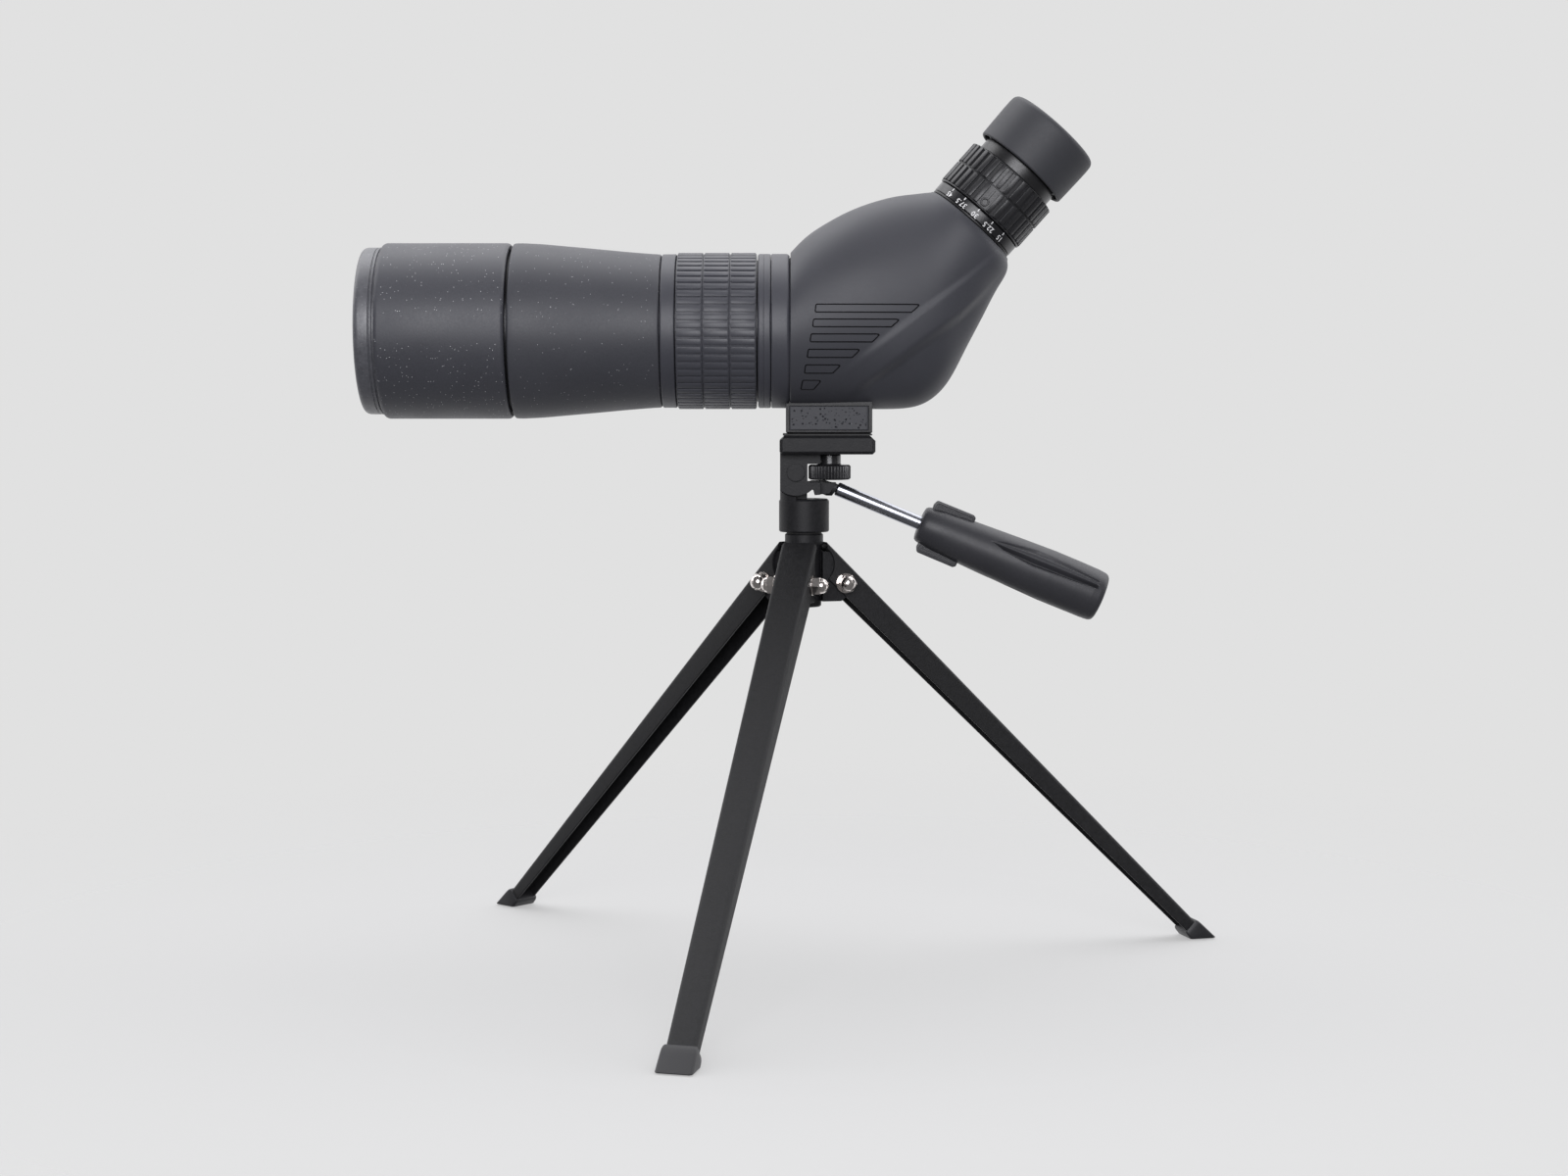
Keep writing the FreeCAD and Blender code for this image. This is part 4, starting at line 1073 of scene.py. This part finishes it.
def build_grip():
    """Grip with stations that are finer over the flutes."""
    steps = 460
    stations = [*np.arange(67.8, 86.0, 0.8), *np.arange(86.0, 138.0, 0.36),
                *np.arange(138.0, 141.4, 0.2)]
    radii, places = zip(*GRIP[3:])
    points = GRIP[:7] + [(float(np.interp(z, places, radii)), float(z)) for z in stations]
    verts, faces = revolve(points + GRIP_END, steps, closed=False, radius_at=fluted)
    # inner end, closed onto the rod
    centre = len(verts)
    verts.append((0, 0, 58.35))
    faces += [[centre, (j + 1) % steps, j] for j in range(steps)]
    piece("handle_grip_body", verts, faces, HANDLE, "handle_plastic", "handle_plastic",
          "handle_grip", "handle", angle=75)


build_grip()

# wing: distance from the rod's axis, place along the rod
WING = [(6.0, 61.2), (9.9, 60.8), (12.1, 61.8), (12.2, 78.6), (11.4, 79.8), (8.0, 79.9),
        (6.0, 79.0)]
WING_HALF, RECESS = 2.5, 0.28
# rounded edge of the plate: inset, y
WING_EDGE = [(0.55, -WING_HALF), (0.18, -2.36), (0.0, -2.0), (0.0, 2.0), (0.18, 2.36),
             (0.55, WING_HALF)]
RIDGE = [(-0.26, -0.05), (-0.12, 0.2), (0.12, 0.2), (0.26, -0.05)]   # across, height


def build_wings():
    """Rounded plates with shallow lengthwise ridges in recessed faces."""
    parts = Parts()
    for side in (-1, 1):
        def outline(inset, radius, y):
            return [(side * x, y, z) for x, z in offset_outline(WING, inset, radius, 3)]
        rings = [outline(inset, 1.0, y) for inset, y in WING_EDGE]
        verts, faces = loft(rings)
        count = len(rings[0])
        for ring, face in ((0, -1), (5, 1)):
            y = face * WING_HALF
            first = len(verts)
            verts += outline(0.95, 0.8, y) + outline(1.15, 0.7, y - face * RECESS)
            faces += walls(ring * count, first, count)
            faces += walls(first, first + count, count)
            faces.append([first + count + j for j in range(count)])
        parts.add(verts, faces)
        for face in (-1, 1):
            floor_y = face * (WING_HALF - RECESS)
            for ridge_x in (8.9, 9.75, 10.6):
                verts = [(side * (ridge_x + across), floor_y + face * height, z)
                         for z in (62.6, 78.4) for across, height in RIDGE]
                parts.add(verts, [[0, 1, 5, 4], [1, 2, 6, 5], [2, 3, 7, 6], [3, 0, 4, 7],
                                  [3, 2, 1, 0], [4, 5, 6, 7]])
    piece("handle_wings", parts.verts, parts.faces, HANDLE, "handle_wing_plastic",
          "handle_plastic", body="handle", angle=36)


build_wings()

# ===================================================================== legs
LEG_ALONG = (math.cos(rad(LEG_SLOPE)), -math.sin(rad(LEG_SLOPE)))    # outwards, up
LEG_NORMAL = (math.sin(rad(LEG_SLOPE)), math.cos(rad(LEG_SLOPE)))
LEG_TOP = 18.2                               # reach of the channel above the hinge
SHEET, BEND, CHAMFER = 1.1, 1.7, 0.28        # thickness, outer bend radius, edge chamfer
NECK_R = 8.45
# rubber boot: place along the leg, half width, low, high, corner radius
BOOT = [(231.0, 6.15, -2.3, 4.15, 0.6), (231.15, 6.45, -2.7, 4.5, 0.8),
        (231.9, 6.85, -3.1, 4.85, 1.0), (233.0, 7.1, -3.35, 5.02, 1.05),
        (234.5, 7.2, -3.42, 5.1, 1.1), (237.0, 7.26, -3.5, 5.16, 1.1),
        (240.0, 7.32, -3.56, 5.22, 1.1), (244.0, 7.4, -3.6, 5.3, 1.1),
        (248.0, 7.45, -3.7, 5.4, 1.1), (252.0, 7.45, -3.7, 5.4, 1.1)]
SOLE_CUT = 0.00045                           # metres above the ground
SOLE_RIM = [(0.00015, 0.985), (0.0, 0.955)]  # height in metres, size


def leg_point(along, across, height, bearing):
    r = HINGE_R + LEG_ALONG[0] * along + LEG_NORMAL[0] * height
    z = HINGE_Z + LEG_ALONG[1] * along + LEG_NORMAL[1] * height
    cosine, sine = math.cos(rad(bearing)), math.sin(rad(bearing))
    return r * cosine - across * sine, r * sine + across * cosine, z


def leg_section(along):
    """Channel outline, outside then inside, as (across, height)."""
    half = (15.4 + (11.8 - 15.4) * along / LEG_LENGTH) / 2
    top = 6.9 - 3.1 * along / LEG_LENGTH
    low = -4.0 + 2.1 * along / LEG_LENGTH
    # flange edge scooped near the hinge
    scoop = 8.6 ** 2 - (along + 15.5) ** 2
    if scoop > 0:
        low = max(low, -3.6 + math.sqrt(scoop))
    low = min(low, top - 1.9)
    bend = BEND - SHEET
    outside = (arc(-half + BEND, top - BEND, BEND, 180, -90, 5)
               + arc(half - BEND, top - BEND, BEND, 90, -90, 5))
    within = (arc(half - SHEET - bend, top - SHEET - bend, bend, 0, 90, 4)
              + arc(-half + SHEET + bend, top - SHEET - bend, bend, 90, 90, 4))
    return ([(-half + SHEET, low), (-half + CHAMFER, low), (-half, low + CHAMFER)] + outside
            + [(half, low + CHAMFER), (half - CHAMFER, low), (half - SHEET, low)]
            + [(across, max(height, low + 0.3)) for across, height in within])


def build_leg(name, bearing):
    stations = [-LEG_TOP + 0.55 * i for i in range(34)] + [1.0 + 4.5 * i for i in range(52)]
    rings = []
    for station in stations + [235.5]:
        ring = []
        for across, height in leg_section(station):
            along = station
            if station < 0:
                # the upper end is cut upright against the neck
                end = (NECK_R - HINGE_R - LEG_NORMAL[0] * height) / LEG_ALONG[0]
                along = max(station, end + (station + LEG_TOP) * 0.02)
            ring.append(leg_point(along, across, height, bearing))
        rings.append(ring)
    piece(name + "_leg_channel", *capped_loft(rings), UPRIGHT, "leg_coat", "leg_coat",
          name + "_leg", name + "_leg", angle=40)


def build_boot(name, bearing):
    """Rubber boot, cut level with a rounded edge at the ground."""
    rings = []
    for along, half, low, high, corner in BOOT:
        outline = round_rect(half, (high - low) / 2, corner, 5)
        rings.append([leg_point(along, x, y + (low + high) / 2, bearing) for x, y in outline])
    verts, faces = capped_loft(rings)
    mesh = bpy.data.meshes.new("boot")
    mesh.from_pydata([tuple(c * MM for c in v) for v in verts], [], faces)
    bm = bmesh.new()
    bm.from_mesh(mesh)
    bmesh.ops.recalc_face_normals(bm, faces=bm.faces)
    trim(bm, (0, 0, SOLE_CUT - LIFT * MM), (0, 0, -1))
    rim = [e for e in bm.edges if e.is_boundary]
    rim_verts = list({v for e in rim for v in e.verts})
    centre = Vector((0, 0, 0))
    for v in rim_verts:
        centre += v.co
    centre /= len(rim_verts)
    for height, size in SOLE_RIM:
        new_verts, rim = extrude_rim(bm, rim)
        for v in new_verts:
            v.co = Vector((centre.x + (v.co.x - centre.x) * size,
                           centre.y + (v.co.y - centre.y) * size, height - LIFT * MM))
    bmesh.ops.contextual_create(bm, geom=rim)
    bmesh.ops.recalc_face_normals(bm, faces=bm.faces)
    bm.to_mesh(mesh)
    bm.free()
    mesh.transform(Matrix.Translation((0, 0, LIFT * MM)))
    publish(mesh, name + "_foot_boot", "foot_rubber", "foot_rubber", name + "_foot",
            name + "_leg", 34)


for leg, leg_bearing in LEG_BEARINGS.items():
    build_leg(leg, leg_bearing)
    build_boot(leg, leg_bearing)

# ======================================================= CAD nodes that stay
KEPT_NODES = {
    "inner_moulding": ("prism_housing", "focus_ring", "prism_cage", "zoom_ring"),
    "black_moulding": ("mounting_foot",),
    "zinc_steel": ("foot_screws", "prism_clip", "clamp_screw", "pan_spindle",
                   "pan_spring_washer"),
    "anodised_tube": ("barrel_tube", "focus_cell", "objective_cell", "objective_retainer",
                      "field_stop", "zoom_front_cell", "zoom_rear_cell", "eye_lens_cell",
                      "eye_lens_ring"),
    "coated_glass": ("focus_lens", "objective_crown", "objective_flint", "zoom_front_lens",
                     "zoom_rear_lens", "eye_lens"),
    "turned_brass": ("focus_pin",),
    "seal_rubber": ("sunshade_glide_ring", "plate_pad", "pan_friction_washer"),
    "prism_glass": ("roof_prism",),
    "powder_coat": ("tilt_head", "tilt_pin", "pan_base", "leg_hub"),
    "nickel_plate": ("hinge_bolts", "acorn_nuts", "bolt_washers")}
EDGE_WIDTHS = {"tilt_head": 0.35, "pan_base": 0.3, "leg_hub": 0.35, "mounting_foot": 0.3}

for material_name, node_names in KEPT_NODES.items():
    for node_name in node_names:
        mesh = NODES[node_name].data
        mesh.materials.clear()
        mesh.materials.append(MATERIALS[material_name])
        for polygon in mesh.polygons:
            polygon.material_index = 0
for node_name, width in EDGE_WIDTHS.items():
    edge = NODES[node_name].modifiers.new("edge", "BEVEL")
    edge.width, edge.segments = width * MM, 2
    edge.limit_method, edge.angle_limit = "ANGLE", rad(38)
    edge.harden_normals = False


# ===================================================================== stage
def build_floor():
    """Pale floor that only the camera sees, fading out from the middle."""
    mesh = bpy.data.meshes.new("floor")
    mesh.from_pydata([(-3, -3, 0), (3, -3, 0), (3, 3, 0), (-3, 3, 0)], [], [(0, 1, 2, 3)])
    floor = bpy.data.objects.new("floor", mesh)
    floor.location.z = -0.0004
    scene.collection.objects.link(floor)
    material, tree, surface = new_material("floor_pale")
    feed(tree, surface, {
        "Base Color": (0.24, 0.24, 0.24, 1), "Emission Color": (1, 1, 1, 1),
        "Emission Strength": 0.37, "Roughness": 0.9, "Specular IOR Level": 0.0})
    clear = add_node(tree, "BsdfTransparent")
    where = add_node(tree, "TexCoord").outputs["Object"]
    away = add_node(tree, "VectorMath", {0: where}, operation="LENGTH").outputs["Value"]
    fade = ramp(tree, away, [(0.22, 0.0), (0.62, 1.0)])
    camera_ray = add_node(tree, "LightPath").outputs["Is Camera Ray"]
    hidden = compute(tree, "SUBTRACT", 1.0, camera_ray)
    mix = add_node(tree, "MixShader", {
        0: compute(tree, "MAXIMUM", fade, hidden), 1: surface.outputs[0], 2: clear.outputs[0]})
    feed(tree, tree.nodes["Material Output"], {"Surface": mix.outputs[0]})
    mesh.materials.append(material)


# degrees up and over from the camera's horizon, brightness
SKY = [(-179.5, 0.30), (-135, 0.33), (-108, 0.13), (-90, 0.05), (-40, 0.05), (0, 0.06),
       (40, 0.05), (68, 0.06), (84, 0.48), (100, 1.0), (122, 1.0), (140, 0.45), (179.5, 0.33)]
SKY_STRENGTH = 3.0
BACKDROP = (0.753, 0.753, 0.753, 1)


def sky_position(degrees):
    """Ramp position of an elevation in SKY."""
    turned = 180 - degrees
    if turned > 180:
        turned -= 360
    return (turned + 180) / 360


def build_world():
    """Plain backdrop for the camera, banded sky for the light."""
    world = bpy.data.worlds.new("studio")
    scene.world = world
    world.use_nodes = True
    tree = world.node_tree
    for old in list(tree.nodes):
        tree.nodes.remove(old)
    backdrop = add_node(tree, "Background", {0: BACKDROP})
    direction = add_node(tree, "TexCoord").outputs["Generated"]
    parted = add_node(tree, "SeparateXYZ", {0: direction})
    # 0 at the +Y horizon, half pi overhead
    angle = compute(tree, "ARCTAN2", parted.outputs["Z"], parted.outputs["Y"])
    turn = add_node(tree, "MapRange", {"From Min": -math.pi, "From Max": math.pi,
                                       "Value": angle})
    bands = ramp(tree, turn.outputs[0], sorted((sky_position(d), v) for d, v in SKY))
    strength = compute(tree, "MULTIPLY", bands, SKY_STRENGTH)
    light = add_node(tree, "Background", {0: (1.0, 1.0, 1.02, 1), "Strength": strength})
    camera_ray = add_node(tree, "LightPath").outputs["Is Camera Ray"]
    mix = add_node(tree, "MixShader", {0: camera_ray, 1: light.outputs[0],
                                       2: backdrop.outputs[0]})
    add_node(tree, "OutputWorld", {0: mix.outputs[0]})


def area_light(name, *, location, target, width, height, power, colour=(1, 1, 1)):
    light = bpy.data.lights.new(name, "AREA")
    light.shape, light.size, light.size_y = "RECTANGLE", width, height
    light.energy, light.color = power, colour
    made = bpy.data.objects.new(name, light)
    made.location = location
    aim = Vector(target) - Vector(location)
    made.rotation_euler = aim.to_track_quat("-Z", "Y").to_euler()
    scene.collection.objects.link(made)


def build_camera():
    data = bpy.data.cameras.new("camera")
    data.lens, data.sensor_width = 58.5, 36.0
    data.clip_start, data.clip_end = 0.01, 20
    camera = bpy.data.objects.new("camera", data)
    camera.location = (-0.0087, -1.105, 0.2456 + LIFT * MM)
    camera.rotation_euler = (rad(90 - 4.37), 0, 0)
    scene.collection.objects.link(camera)
    scene.camera = camera


build_floor()
build_world()
area_light("front_box", location=(-0.05, -1.75, 0.70), target=(0, 0, 0.26), width=1.35,
           height=1.0, power=27.0, colour=(1, 1, 1.04))
area_light("right_box", location=(1.3, -0.7, 0.7), target=(0, 0, 0.2), width=0.5, height=0.9,
           power=0.35)
build_camera()
scene.view_settings.view_transform = "Standard"
scene.view_settings.look = "None"
scene.view_settings.exposure = 0.0
